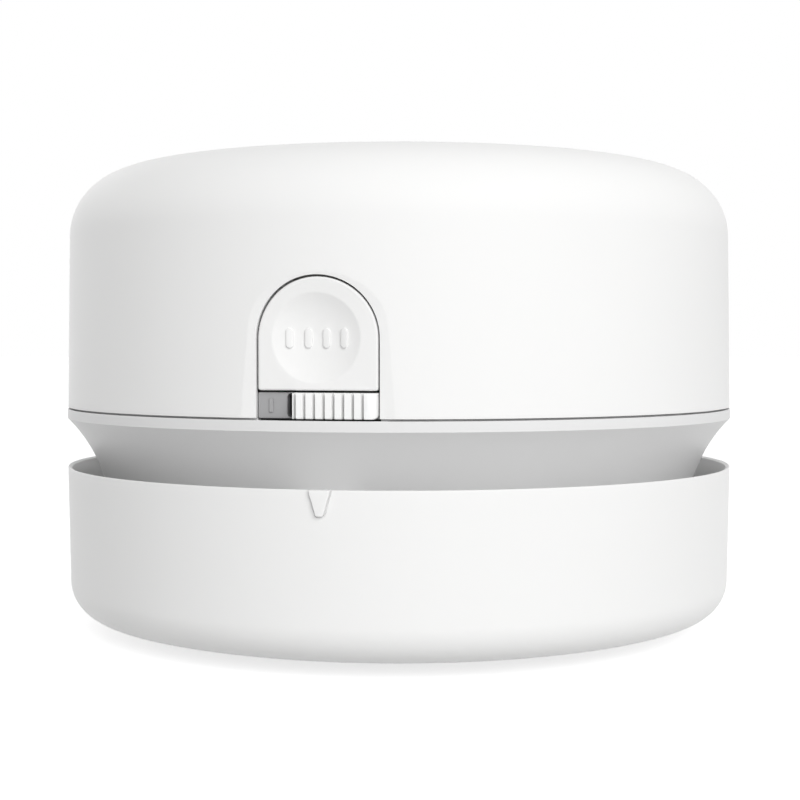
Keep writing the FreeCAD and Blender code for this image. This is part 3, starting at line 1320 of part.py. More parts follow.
def make_leads():
    tag = f"({CAN_TOP} + 5.2)"
    lead_set("motor_leads", [[
        (f"{sign} * 7", "4.5 + dim.lead_radius", tag),
        (f"{sign} * 7", "10", tag),
        (f"{sign} * 7.4", f"{CELL_BACK} - dim.cell_radius - 1.6", f"{CAN_TOP} - 4"),
        (f"{sign} * 7.6", f"{CELL_BACK} - dim.cell_radius - 1.5", f"{BOARD_TOP} + 6"),
        (f"{sign} * 7.6", f"{CELL_BACK} - dim.cell_radius", f"{BOARD_TOP} + dim.lead_radius"),
    ] for sign in (-1, 1)])
    end = "(dim.cell_long / 2 + 0.5 + dim.lead_radius)"
    near_shell = f"sqrt(({SHELL_IN} - dim.lead_room)^2 - ({end} - 0.7)^2)"
    lead_set("battery_leads", [[
        (f"{sign} * {end}", CELL_BACK, f"{CELL_LEVEL} - 1"),
        (f"{sign} * {end}", f"{CELL_BACK} + 1.6", f"{CELL_LEVEL} - 4.4"),
        (f"{sign} * ({end} - 0.7)", near_shell, f"{CELL_LEVEL} - 7"),
        (f"{sign} * 15.5", f"{CELL_BACK} + 8.3", f"{BOARD_TOP} + 1.6"),
        (f"{sign} * 10.8", f"{CELL_BACK} + 8.3", f"{BOARD_TOP} + dim.lead_radius"),
    ] for sign in (-1, 1)])
    back = f"(-{BOARD_BACK} + dim.lead_radius)"
    lead_set("switch_leads", [[
        (f"{sign} * 6", back, f"{SEAM} - 1.2"),
        (f"{sign} * 12", "-25", f"{SEAM} - 1.0"),
        (f"{sign} * 17.5", "-13", f"{SEAM} - 0.8"),
        (f"{sign} * 18.5", "0", f"{SEAM} - 0.6"),
        (f"{sign} * 16.4", "10", f"{SEAM} - 0.2"),
        (f"{sign} * (dim.board_half - 1)", f"{MAIN_FRONT} - 0.7", f"{BOARD_LOW} + 0.5"),
    ] for sign in (-1, 1)])


# ---------------------------------------------------------------- build and write
def build():
    make_dust_cup()
    make_feet()
    make_brush()
    make_head_base()
    make_seal()
    make_filter()
    make_impeller()
    make_motor()
    make_rotor()
    make_motor_plate()
    make_top_cover()
    make_button()
    make_latch_hook()
    make_latch_bracket()
    make_button_spring()
    make_indicator_plate()
    make_switch_knob()
    make_slide_switch()
    make_battery()
    make_control_board()
    make_charge_socket()
    make_leads()
    screw_set("cover_screws", COLUMN_SPOTS, SCREW_SEAT, f"({COLUMN_TOP} + 7 - {SCREW_SEAT})")
    screw_set("plate_screws", POST_SPOTS, PLATE_TOP, "5.6", "small", False)
    screw_set("motor_screws", [("-8", "0"), ("8", "0")], PLATE_LOW,
              "(dim.plate_thick + dim.can_wall)", "small")
    doc.recompute()


def check_and_write():
    for obj in doc.Objects:
        if "Invalid" in obj.State or "Error" in obj.State:
            raise ValueError(f"{obj.Name} failed: {obj.State}")
    for obj in NODES:
        if obj.Shape.isNull() or not obj.Shape.isValid():
            raise ValueError(f"{obj.Label} has no valid shape")
    os.makedirs("parts", exist_ok=True)
    for obj in NODES:
        obj.Shape.exportStep(f"parts/{obj.Label}.step")
        print(f"{obj.Label:20s} solids {len(obj.Shape.Solids):3d} volume {obj.Shape.Volume:10.1f}")


build()
check_and_write()
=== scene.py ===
"""Desk vacuum cleaner: finished surfaces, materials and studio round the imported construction.

Lengths below are millimetres and are turned to metres when a mesh is made; angles are degrees.
The front, with the button and the slider, looks along -Y.  Angles round the body start at the
front and grow towards +X.  A comment above a pair or triple says what it holds.
"""
import json
import math

import bmesh
import bpy
import numpy as np
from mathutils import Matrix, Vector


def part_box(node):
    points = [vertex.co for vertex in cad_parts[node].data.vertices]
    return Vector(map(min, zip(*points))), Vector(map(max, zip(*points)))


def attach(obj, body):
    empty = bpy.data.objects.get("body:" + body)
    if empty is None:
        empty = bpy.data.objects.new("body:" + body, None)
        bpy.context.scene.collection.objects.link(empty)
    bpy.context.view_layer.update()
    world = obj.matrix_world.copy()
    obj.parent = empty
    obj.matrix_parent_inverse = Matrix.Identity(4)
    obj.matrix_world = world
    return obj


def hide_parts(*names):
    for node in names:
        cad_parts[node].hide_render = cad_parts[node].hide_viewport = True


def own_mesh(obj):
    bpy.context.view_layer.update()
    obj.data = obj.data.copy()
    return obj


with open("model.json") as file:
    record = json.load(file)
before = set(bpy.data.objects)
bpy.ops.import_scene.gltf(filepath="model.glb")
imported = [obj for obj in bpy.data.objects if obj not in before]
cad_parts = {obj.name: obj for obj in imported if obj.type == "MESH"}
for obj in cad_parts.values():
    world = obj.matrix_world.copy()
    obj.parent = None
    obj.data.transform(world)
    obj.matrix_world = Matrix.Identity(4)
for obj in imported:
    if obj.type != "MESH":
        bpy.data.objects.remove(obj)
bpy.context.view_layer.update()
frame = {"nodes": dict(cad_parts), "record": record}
MM = 0.001


def edge(node, side, axis):
    """One coordinate of a node's box in millimetres: side 0 is low, 1 is high."""
    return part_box(node)[side]["xyz".index(axis)] / MM


# ---- measures from the frame
BOWL = edge("dust_cup", 1, "x")
BASE = edge("dust_cup", 0, "z")
RIM = edge("dust_cup", 1, "z")
BAND_INSET = 0.3
BAND = edge("head_base", 1, "x") - BAND_INSET
CROWN = edge("top_cover", 1, "z")
PLATE_LOW = edge("motor_plate", 0, "z")
NECK_SHOW = 7.06
SEAM = RIM + NECK_SHOW

# Dust cup.
WALL = 1.3
LIP = 0.5
LIP_FALL = 3.5
# The rim slopes inwards between these two depths.
RIM_SLOPE = (0.04, 0.28)
DRAFT = 1.0
STRAIGHT = 14.1
CORNER = 4.3
CORNER_TURN = 75.0
INLET = 8.0
PIPE_TOP = BASE + 6.6
RING_OUT = 34.8
RING_WALL = 1.4
RING_TOP = BASE + 11.2
FLAT_OUT = 28.2
# Brush channel: inner and outer radius.
CHANNEL = (11.8, 14.2)
CHANNEL_TOP = BASE + 2.4

# Head base.
NECK = 35.8
BASE_WALL = 1.6
FLARE = 18.0
FLARE_DROP = 13.9
FLARE_TURN = 44.3
BAND_STEP = 0.13
SEAM_GAP = 0.22
SEAM_DEEP = 0.9
FOOT = RING_TOP + 0.85
FLOOR_LOW = FOOT + 1.75
FLOOR_TOP = FLOOR_LOW + 1.0
EYE = 11.0
# Air ports and latch hatch: lower and upper edge.
PORT = (FLOOR_TOP + 0.9, FLOOR_TOP + 3.0)
PORT_TURN = 12.0
PORT_PITCH = 30
HATCH = (FLOOR_TOP, FLOOR_TOP + 1.9)
HATCH_HALF = 3.3
HATCH_COLUMNS = 4
# Angle from column to column of the turned cup and neck.
LATHE_STEP = 1.5
# Ledges, columns and posts stand at angles that start at +X and grow towards +Y.
LEDGE_TURNS = (30, 150, 270)
LEDGE_HALF = 14
LEDGE_REACH = 1.3
LEDGE_ROOT = 0.3
LEDGE_THICK = 0.7
# Screw columns, plate posts and shell bosses: bore and outside radius.
COLUMN = (1.2, 3.4)
POST = (0.8, 2.8)
BOSS = (1.0, 3.0)
COLUMN_RING = NECK - 4.8
COLUMN_TURNS = (25, 155, 205, 335)
POST_TURNS = (90, 228, 312)
COLUMN_TOP = PLATE_LOW + 2.2
COLUMN_GAP = 0.05
BOSS_DROP = 2.6

# Pointer and catch of the cup.  The pointer's foot and top go from left to right.
POINTER_FOOT = (0.1, 0.84)
POINTER_TOP = (-0.71, 1.61)
POINTER_LOW = RIM - 2.78
POINTER_HIGH = RIM - 0.1
POINTER_SKIN = BOWL - 0.02
# Straight part of a raised mark and radius of its edge, here and in TICK_RISE.
POINTER_RISE = (0.36, 0.12)
# Width and depth of the groove round the pointer.
POINTER_GROOVE = (0.13, 0.2)
CATCH_HALF = 3.5
CATCH_THICK = 0.9
CATCH_TIP = NECK + 1.6
CATCH_ROOT = BOWL - 0.9
LATCH_PLAY = 0.3
LATCH_NOSE = 1.3

# Shell.
SHELL = BAND - 0.06
SHELL_WALL = 1.6
SHELL_DRAFT = 0.91
SHELL_STRAIGHT = 20.53
# Arcs of the shoulder and the crown: radius, and the angle where the arc ends.
SHOULDER = (8.12, 63.9)
CROWN_ARC = (11.85, 87.84)
SKIN = 0.76
FACE = SHELL - 0.81
FACET_FLAT = 9.5
FACET_SWEEP = 25.7
CREASE_SOFT = 0.008
CREASE_BESIDE = 0.12
FRONT_TURN = 17.0
FRONT_ROWS = 36
REAR_TURN = 9.0
REAR_ROWS = 13
REAR_COLUMNS = 13
ROW = 0.47
SPIGOT_TALL = 1.2
SPIGOT_WALL = 1.2
SPIGOT_ROOT = 0.2
SPIGOT_OUT = SHELL - SHELL_WALL - 0.1
SPIGOT_IN = SPIGOT_OUT - SPIGOT_WALL
SOCKET_LEVEL = (edge("charge_socket", 0, "z") + edge("charge_socket", 1, "z")) / 2
SOCKET_HALF = edge("charge_socket", 1, "x") + 0.2
SOCKET_HIGH = 1.8
FRONT_NOTCH = 8.5
REAR_NOTCH = SOCKET_HALF + 0.3

# Button.
WINDOW_HALF = 6.48
ARCH_LEVEL = 8.08
GAP = 0.2
BUTTON_LOW = 2.83
BUTTON_FACE = FACE - 0.05
BUTTON_BACK = FACE - 1.95
BUTTON_ROUND = 0.24
FLANGE_WIDE = 0.9
FLANGE_BACK = FACE - 2.85
# Dish: radius, depth and level over the seam.
DISH = (4.62, 0.85, 8.15)
DISH_SHIFT = -0.15
DISH_LIP = 0.12
TICKS = 4
TICK_PITCH = 1.9
TICK_RADIUS = 0.38
TICK_HALF = 0.65
TICK_RISE = (0.14, 0.12)
SPRING_WIRE = 0.25
SPRING_TURNS = 7
SPRING_LEVEL = 9.5
# Spring seat: bore, outside radius and depth.
SPRING_SEAT = (2.7, 3.3, 1.2)

# Slider and label.  Lower and upper edge of their strip over the seam.
STRIP = (-0.04, 2.63)
STRIP_MIDDLE = SEAM + (STRIP[0] + STRIP[1]) / 2
# Left and right end of the slider.
KNOB = (-2.46, 6.3)
KNOB_FRONT = FACE + 0.62
KNOB_THICK = 1.1
KNOB_BACK = KNOB_FRONT - KNOB_THICK
KNOB_END = 1.08
KNOB_CORNER = 0.5
KNOB_SOFT = 0.16
KNOB_CLEAR = 0.03
KNOB_SLOTS = 7.5
# Groove of the slider: half width and depth.
GROOVE = (0.13, 0.85)
GROOVE_FIRST = 0.2
GROOVE_PITCH = 1.01
# Stem behind the slider: place across, half width and half height.
STEM = (1.7, 1.4, 0.7)
LABEL_FRONT = FACE - 0.63
LABEL_BACK = LABEL_FRONT - 1.2
LABEL_GAP = 0.06
# Slot of the label: half width and half height.
SLOT = (3.32, 1.23)
CARRIER_HALF = 7.6
CARRIER_LOW = SEAM - 0.75
CARRIER_HIGH = SEAM + STRIP[1] - 0.1
CARRIER_THICK = 0.8
LEG_WIDE = 1.4
# Bar of the label: left and right edge.  Ring: place across, bore and outside radius.
ON_BAR = (-5.2, -4.78)
OFF_RING = (4.75, 0.4, 0.72)
MARK_HALF = 0.72
MARK_RISE = 0.2
# Notch in the neck under the window: start, depth under the seam and end behind the wall.
WINDOW_NOTCH = (0.45, 0.7, 3.2)

# Studio.  Camera lengths are millimetres, lamp lengths metres.
CAMERA_TURN = 11.92
CAMERA_FAR = 197.2
CAMERA_OVER_SEAM = 7.46
CAMERA_TILT = 2.02
CAMERA_AIM = 0.036
LENS = 70.34
AMBIENT = 0.49
FLOOR_HALF = 4000
FLOOR_GREY = 0.66
FLOOR_GLOW = 0.72
LAMP_AIM = 0.03
# Name, turn, rise, distance, size, power, and whether gloss mirrors the lamp.
LAMPS = (
    ("key_lamp", 31, 25, 0.9, 0.6, 5.4, False),
    ("edge_lamp", -122, 4, 0.9, 0.9, 1.2, True),
)


# ---- shader node helpers
def feed(tree, node, inputs):
    """Gives a node its input values and links."""
    for key, value in inputs.items():
        if isinstance(value, bpy.types.NodeSocket):
            tree.links.new(value, node.inputs[key])
        else:
            node.inputs[key].default_value = value


def add(tree, kind, inputs=None, **settings):
    """A node with its settings and its input values or links."""
    node = tree.nodes.new(kind)
    for key, value in settings.items():
        setattr(node, key, value)
    feed(tree, node, inputs or {})
    return node


def maths(tree, operation, *values):
    """The result of a Math node."""
    return add(tree, "ShaderNodeMath", dict(enumerate(values)), operation=operation).outputs[0]


def on_object(tree):
    """Object coordinates, in metres."""
    return add(tree, "ShaderNodeTexCoord").outputs["Object"]


def noise(tree, place, scale, detail=2.0):
    """The grey level of a noise texture."""
    values = {"Vector": place, "Scale": scale, "Detail": detail}
    return add(tree, "ShaderNodeTexNoise", values).outputs["Fac"]


def ramp(tree, value, ends):
    """A grey level stretched to other ends."""
    return add(tree, "ShaderNodeMapRange", {"Value": value, **ends}).outputs["Result"]


def two_tone(tree, share, first, second):
    """A colour between two, by a grey level."""
    values = {"Fac": share, "Color1": (*first, 1), "Color2": (*second, 1)}
    return add(tree, "ShaderNodeMixRGB", values).outputs["Color"]


def relief(tree, height, strength, distance):
    """The normal of a surface with small relief, its distance in metres."""
    values = {"Height": height, "Strength": strength, "Distance": distance}
    return add(tree, "ShaderNodeBump", values).outputs["Normal"]


def darker(colour, share):
    """A colour times a share."""
    return tuple(share * value for value in colour)


# ---- materials
def moulding_group():
    """Moulded plastic: fine spark-eroded grain, faint flow mottle and a little polish change."""
    group = bpy.data.node_groups.new("moulded_surface", "ShaderNodeTree")
    for side, labels in (("INPUT", ("Color", "Mottle", "Roughness", "Spread", "Grain Scale")),
                         ("OUTPUT", ("Color", "Roughness", "Height"))):
        for label in labels:
            kind = "NodeSocketColor" if label == "Color" else "NodeSocketFloat"
            group.interface.new_socket(label, in_out=side, socket_type=kind)
    given, out = group.nodes.new("NodeGroupInput"), group.nodes.new("NodeGroupOutput")
    place = on_object(group)
    grain = noise(group, place, given.outputs["Grain Scale"], 3.0)
    flow = maths(group, "SUBTRACT", noise(group, place, 60.0, 4.0), 0.5)
    mottle = maths(group, "MULTIPLY", flow, given.outputs["Mottle"])
    shade = maths(group, "ADD", mottle, 1.0)
    colour = add(group, "ShaderNodeVectorMath", {0: given.outputs["Color"], 1: shade},
                 operation="MULTIPLY")
    polish = maths(group, "MULTIPLY", flow, given.outputs["Spread"])
    rough = maths(group, "ADD", polish, given.outputs["Roughness"])
    feed(group, out, {"Color": colour.outputs[0], "Roughness": rough, "Height": grain})
    return group


MOULDED = moulding_group()


def new_material(name):
    """A node material with only its Principled shader and output."""
    material = bpy.data.materials.new(name)
    material.use_nodes = True
    tree = material.node_tree
    return material, tree, tree.nodes["Principled BSDF"]


def plastic(name, colour, rough, mottle=0.02, grain=6000.0, bump=0.02):
    """Moulded plastic with its grain in the bump and its polish change in the roughness."""
    material, tree, shader = new_material(name)
    look = add(tree, "ShaderNodeGroup", node_tree=MOULDED)
    feed(tree, look, {"Color": (*colour, 1), "Mottle": mottle, "Roughness": rough,
                      "Spread": 0.06, "Grain Scale": grain})
    feed(tree, shader, {
        "Base Color": look.outputs["Color"], "Roughness": look.outputs["Roughness"],
        "Normal": relief(tree, look.outputs["Height"], bump, 0.0001), "IOR": 1.49})
    return material


def metal(name, colour, rough, streaks=(400.0, 400.0, 4000.0)):
    """Metal with fine drawn streaks in its roughness and bump."""
    material, tree, shader = new_material(name)
    stretch = add(tree, "ShaderNodeMapping", {"Vector": on_object(tree), "Scale": streaks})
    streak = noise(tree, stretch.outputs["Vector"], 1.0, 4.0)
    feed(tree, shader, {
        "Base Color": two_tone(tree, streak, colour, darker(colour, 0.82)),
        "Roughness": ramp(tree, streak, {"To Min": rough - 0.06, "To Max": rough + 0.12}),
        "Normal": relief(tree, streak, 0.08, 0.0001), "Metallic": 1.0})
    return material


def fibres(name, colour, scale):
    """Felted fibres: two crossed layers of stretched noise."""
    material, tree, shader = new_material(name)
    place = on_object(tree)
    layers = []
    for turn in (0.5, 2.1):
        lay = add(tree, "ShaderNodeMapping", {
            "Vector": place, "Rotation": (0, 0, turn), "Scale": (scale, scale * 0.12, scale)})
        layers.append(noise(tree, lay.outputs["Vector"], 1.0, 5.0))
    top = maths(tree, "MAXIMUM", *layers)
    share = ramp(tree, top, {"From Min": 0.4, "From Max": 0.75})
    feed(tree, shader, {
        "Base Color": two_tone(tree, share, darker(colour, 0.75), colour),
        "Normal": relief(tree, top, 0.5, 0.0003), "Roughness": 0.9, "Sheen Weight": 0.2})
    return material


def woven(name, colour, pitch):
    """A plain woven screen: threads both ways stand up between square holes painted dark, painted
    shade for the hollow seen through them.
    """
    material, tree, shader = new_material(name)
    parts = add(tree, "ShaderNodeSeparateXYZ", {"Vector": on_object(tree)})
    waves = []
    for axis in ("X", "Y"):
        turn = maths(tree, "MULTIPLY", parts.outputs[axis], 2 * math.pi / pitch)
        waves.append(maths(tree, "COSINE", turn))
    top = maths(tree, "MAXIMUM", *waves)
    share = ramp(tree, top, {"From Min": -0.2, "From Max": 0.4})
    # The near black between the threads is painted shade in place of real openings.
    feed(tree, shader, {
        "Base Color": two_tone(tree, share, (0.02, 0.02, 0.02), colour),
        "Normal": relief(tree, top, 0.6, 0.0002), "Roughness": 0.6})
    return material


def board_green(name):
    """Printed board: solder mask over faint copper tracks."""
    material, tree, shader = new_material(name)
    place = on_object(tree)
    tracks = add(tree, "ShaderNodeTexBrick", {
        "Vector": place, "Scale": 260.0, "Color1": (0.02, 0.16, 0.07, 1),
        "Color2": (0.03, 0.2, 0.09, 1), "Mortar": (0.05, 0.3, 0.14, 1), "Mortar Size": 0.03})
    rough = ramp(tree, noise(tree, place, 900.0), {"To Min": 0.25, "To Max": 0.42})
    feed(tree, shader, {
        "Base Color": tracks.outputs["Color"], "Roughness": rough,
        "Normal": relief(tree, tracks.outputs["Fac"], 0.2, 0.0001)})
    return material


WHITE = (0.86, 0.86, 0.855)
FINISH = {
    "white_plastic": plastic("white_moulding", WHITE, 0.38, mottle=0.012, bump=0.015),
    # The slider's plastic is the white painted lighter: painted light that lifts its grooved front
    # to the brightness of the lit wall beside it.
    "bright_plastic": plastic("slider_moulding_painted_bright", (0.92, 0.92, 0.915), 0.34, mottle=0.01),
    "shade_plastic": plastic("neck_moulding", (0.75, 0.75, 0.75), 0.42),
    "label_grey": plastic("label_moulding", (0.36, 0.36, 0.365), 0.55, mottle=0.05, bump=0.06),
    "dark_plastic": plastic("black_moulding", (0.02, 0.02, 0.022), 0.45, bump=0.05),
    "inner_plastic": plastic("inner_moulding", (0.62, 0.62, 0.62), 0.5, mottle=0.06, bump=0.05),
    "steel": metal("plated_steel", (0.6, 0.6, 0.61), 0.3),
    "magnet_grey": plastic("sintered_grey", (0.06, 0.06, 0.065), 0.6, mottle=0.4, bump=0.3),
    "copper": metal("copper_and_core", (0.62, 0.3, 0.16), 0.35, (900.0, 900.0, 90.0)),
    "brass": metal("turned_brass", (0.72, 0.52, 0.24), 0.28),
    "carbon": plastic("pressed_carbon", (0.03, 0.03, 0.03), 0.7, mottle=0.5, bump=0.3),
    "soft_rubber": plastic("grey_silicone", (0.22, 0.22, 0.23), 0.65, mottle=0.08, bump=0.1),
    "foot_rubber": plastic("pale_pad", (0.55, 0.55, 0.55), 0.8, mottle=0.1, bump=0.2,
                           grain=3000.0),
    "felt": fibres("filter_felt", (0.8, 0.8, 0.78), 2500.0),
    "mesh": woven("filter_screen", (0.6, 0.6, 0.62), 0.0006),
    "tuft": fibres("brush_fibres", (0.6, 0.6, 0.6), 6000.0),
    "board_green": board_green("printed_board"),
    "chip_black": plastic("chip_moulding", (0.02, 0.02, 0.02), 0.5, mottle=0.2, bump=0.2),
    "cell_wrap": plastic("cell_sleeve", (0.08, 0.2, 0.42), 0.25, mottle=0.05),
    "lead_red": plastic("red_insulation", (0.5, 0.02, 0.02), 0.4),
    "lead_black": plastic("black_insulation", (0.02, 0.02, 0.02), 0.4),
}


# ---- outline helpers
def spokes(angles):
    """Unit vectors at one or more angles, from the first axis towards the second."""
    turn = np.radians(angles)
    return np.stack((np.cos(turn), np.sin(turn)), axis=-1)


def arc(centre, radius, start, end, count):
    """Points on a circle arc from the start to the end angle, both ends included."""
    return centre + radius * spokes(np.linspace(start, end, count))


def rounded(corners, closed=True, steps=5):
    """A polygon whose corners (x, y, radius) become arcs tangent to both their sides.

    If it isn't closed, its first and last spots only aim the sides beside them and are left out.
    """
    spots = np.array([corner[:2] for corner in corners], float)
    sizes = [corner[2] if len(corner) > 2 else 0.0 for corner in corners]
    pieces = []
    for i, (spot, size) in enumerate(zip(spots, sizes)):
        if size == 0:
            pieces.append(spot[None])
            continue
        back = spots[i - 1] - spot
        ahead = spots[(i + 1) % len(spots)] - spot
        back /= np.linalg.norm(back)
        ahead /= np.linalg.norm(ahead)
        half = math.acos(np.clip(back @ ahead, -1, 1)) / 2
        inward = (back + ahead) / np.linalg.norm(back + ahead)
        centre = spot + inward * size / math.sin(half)
        enter = spot + back * size / math.tan(half) - centre
        leave = spot + ahead * size / math.tan(half) - centre
        first = math.atan2(enter[1], enter[0])
        sweep = (math.atan2(leave[1], leave[0]) - first + math.pi) % (2 * math.pi) - math.pi
        turn = first + sweep * np.linspace(0, 1, steps)
        pieces.append(centre + size * spokes(np.degrees(turn)))
    return np.concatenate(pieces if closed else pieces[1:-1])


def resampled(points, count, closed=True):
    """The same outline with its points spread evenly along its length."""
    if closed:
        points = np.concatenate((points, points[:1]))
    steps = np.linalg.norm(np.diff(points, axis=0), axis=1)
    along = np.concatenate(([0], np.cumsum(steps)))
    spread = np.linspace(0, along[-1], count, endpoint=not closed)
    return np.column_stack([np.interp(spread, along, points[:, k]) for k in range(2)])


def shrunk(outline, by):
    """A closed outline moved inwards along its own normals."""
    ahead = np.roll(outline, -1, axis=0) - np.roll(outline, 1, axis=0)
    normal = np.column_stack((ahead[:, 1], -ahead[:, 0]))
    normal /= np.linalg.norm(normal, axis=1)[:, None]
    area = np.sum(outline[:, 0] * np.roll(outline[:, 1], -1)
                  - np.roll(outline[:, 0], -1) * outline[:, 1])
    return outline - normal * by * np.sign(area)


def block(left, right, low, high, size, count, steps=5):
    """An upright rectangle with rounded corners, run anticlockwise from its lower left."""
    corners = [(left, low, size), (right, low, size), (right, high, size), (left, high, size)]
    return resampled(rounded(corners, steps=steps), count)


def arch(half, low, level, count):
    """An open window outline: up the left side, over the half-round top, down the right."""
    top = arc((0, level), half, 180, 0, 61)
    points = np.concatenate(([[-half, low]], top, [[half, low]]))
    return resampled(points, count, closed=False)


def closed_arch(half, low, level, count):
    """A closed arch outline with small lower corners."""
    top = arc((0, level), half, 0, 180, 81)
    corners = rounded([(-half, level), (-half, low, 0.25), (half, low, 0.25), (half, level)],
                      closed=False, steps=6)
    return resampled(np.concatenate((top, corners)), count)


def stadium(half, high, level, count):
    """A slot outline with half-round ends, run anticlockwise."""
    flat = half - high
    right = arc((flat, level), high, -90, 90, 25)
    left = arc((-flat, level), high, 90, 270, 25)
    return resampled(np.concatenate((right, left)), count)


def raised(outline, low, rise, turns):
    """Layers of a raised mark: straight sides, then an edge rounded inwards at some turns.

    rise holds the top of the straight part and the radius r of the edge, whose layer at turn a
    is drawn in by r (1 - cos a) and lies r sin a higher.
    """
    straight, size = rise
    layers = [(outline, low), (outline, straight)]
    layers += [(shrunk(outline, size * (1 - math.cos(a))), straight + size * math.sin(a))
               for a in np.radians(turns)]
    return layers


def slab(outline, start, end, soft):
    """Layers of a plate from its start to its end, with a bevelled edge at the end."""
    return [(outline, start), (outline, end - math.copysign(soft, end - start)),
            (shrunk(outline, soft), end)]


# ---- places
def upright(across, along, height):
    """Places (x, y, z) as they are."""
    return np.stack((across, along, height), axis=-1)


def facing_front(x, z, reach):
    """Places (across, height, distance in front of the axis)."""
    return np.stack((x, -reach, z), axis=-1)


def on_wall(radius):
    """Places (across, height, out) on a round wall facing the front."""
    def lift(across, height, out):
        reach = radius + out
        return np.stack((across, -np.sqrt(reach ** 2 - across ** 2), height), axis=-1)
    return lift


# ---- mesh helpers
def grid_faces(rows, columns, close_rows=False, close_columns=False):
    """Quads of a grid whose point (i, j) has number i * columns + j."""
    i = np.arange(rows if close_rows else rows - 1)[:, None]
    j = np.arange(columns if close_columns else columns - 1)[None, :]
    up, along = (i + 1) % rows, (j + 1) % columns
    quads = np.stack((i * columns + j, i * columns + along, up * columns + along,
                      up * columns + j), axis=-1)
    return quads.reshape(-1, 4)


def placed(name, data):
    """A new object in the scene."""
    thing = bpy.data.objects.new(name, data)
    bpy.context.scene.collection.objects.link(thing)
    return thing


def make_piece(name, points, faces, body, finish, slot=None, sharp=35.0):
    """A mesh piece from points in millimetres, joined at its seams, facing outwards."""
    mesh = bpy.data.meshes.new(name)
    mesh.from_pydata((points.reshape(-1, 3) * MM).tolist(), [], list(map(tuple, faces)))
    work = bmesh.new()
    work.from_mesh(mesh)
    bmesh.ops.remove_doubles(work, verts=work.verts, dist=2e-6)
    bmesh.ops.dissolve_degenerate(work, edges=work.edges, dist=1e-7)
    bmesh.ops.recalc_face_normals(work, faces=work.faces)
    work.to_mesh(mesh)
    work.free()
    mesh.shade_smooth()
    mesh.set_sharp_from_angle(angle=math.radians(sharp))
    piece = placed(name, mesh)
    mesh.materials.append(FINISH[finish])
    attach(piece, body)
    return piece


def surface(name, points, body, finish, ring=False, **options):
    """A grid of points whose rows run round and close; with ring its last row meets its first."""
    faces = grid_faces(*points.shape[:2], close_rows=ring, close_columns=True)
    return make_piece(name, points, faces, body, finish, **options)


def lathe_points(section, angles):
    """A section (radius, height) turned to each angle: x = r sin a, y = -r cos a."""
    turn = np.radians(angles)[None, :]
    radius, height = section[:, 0][:, None], section[:, 1][:, None]
    return np.stack((radius * np.sin(turn), -radius * np.cos(turn),
                     np.broadcast_to(height, (len(section), turn.shape[1]))), axis=-1)


def lathe(name, section, body, finish, spot=(0.0, 0.0), step=LATHE_STEP):
    """A closed section turned all the way round the upright axis through a spot."""
    points = lathe_points(section, np.arange(0, 360, step)) + np.array((*spot, 0.0))
    return surface(name, points, body, finish, ring=True)


def front_ring(name, section, step, spot, face, body, finish):
    """A section (radius, distance before a face) turned round an axis that looks to the front."""
    across, up, out = np.moveaxis(lathe_points(section, np.arange(0, 360, step)), -1, 0)
    points = facing_front(spot[0] + across, spot[1] + up, face + out)
    return surface(name, points, body, finish, ring=True)


def arc_piece(name, section, start, end, body, finish):
    """A closed section turned through part of a circle, with flat ends."""
    points = lathe_points(section, np.linspace(start, end, 2 + int((end - start) / 2)))
    rows, columns = points.shape[:2]
    ends = np.arange(rows) * columns
    faces = [*grid_faces(rows, columns, close_rows=True), ends, ends[::-1] + columns - 1]
    return make_piece(name, points, faces, body, finish)


def front_rings(layers):
    """Points of (outline, distance in front of the axis) pairs; a distance may change along it."""
    return np.array([facing_front(*ring.T, np.broadcast_to(depth, len(ring)))
                     for ring, depth in layers])


def stack(name, layers, lift, body, finish):
    """Closed outlines piled up into a solid, its two ends closed towards their middles.

    layers holds (outline, depth) pairs and lift turns (x, y, depth) arrays into points.
    """
    loops = [np.column_stack((outline, np.full(len(outline), depth))) for outline, depth in layers]
    first, last = (np.tile(loops[k].mean(axis=0), (len(loops[k]), 1)) for k in (0, -1))
    flat = np.array([first, *loops, last])
    return surface(name, lift(*np.moveaxis(flat, -1, 0)), body, finish)


def tube_section(bore, outside, low, high):
    """A tube's closed section with softened ends."""
    return rounded([(outside, low, 0.15), (outside, high, 0.25), (bore, high, 0.25),
                    (bore, low, 0.15)], steps=4)


def join(name, parts):
    """Several pieces made into one."""
    keep = parts[0]
    with bpy.context.temp_override(active_object=keep, selected_editable_objects=parts,
                                   selected_objects=parts, object=keep):
        bpy.ops.object.join()
    keep.name = name


def carve(piece, cutter):
    """Cuts one piece's shape out of another and removes the cutter."""
    cut = piece.modifiers.new("carved", "BOOLEAN")
    cut.operation, cut.solver, cut.object = "DIFFERENCE", "EXACT", cutter
    with bpy.context.temp_override(object=piece, active_object=piece, selected_objects=[piece]):
        bpy.ops.object.modifier_apply(modifier=cut.name)
    bpy.data.objects.remove(cutter)
    piece.data.set_sharp_from_angle(angle=math.radians(35))


def soften(piece, width, segments, angle):
    """Small rounded edges where faces meet at more than an angle."""
    made = piece.modifiers.new("soft_edges", "BEVEL")
    made.width = width * MM
    made.segments = segments
    made.limit_method = "ANGLE"
    made.angle_limit = math.radians(angle)


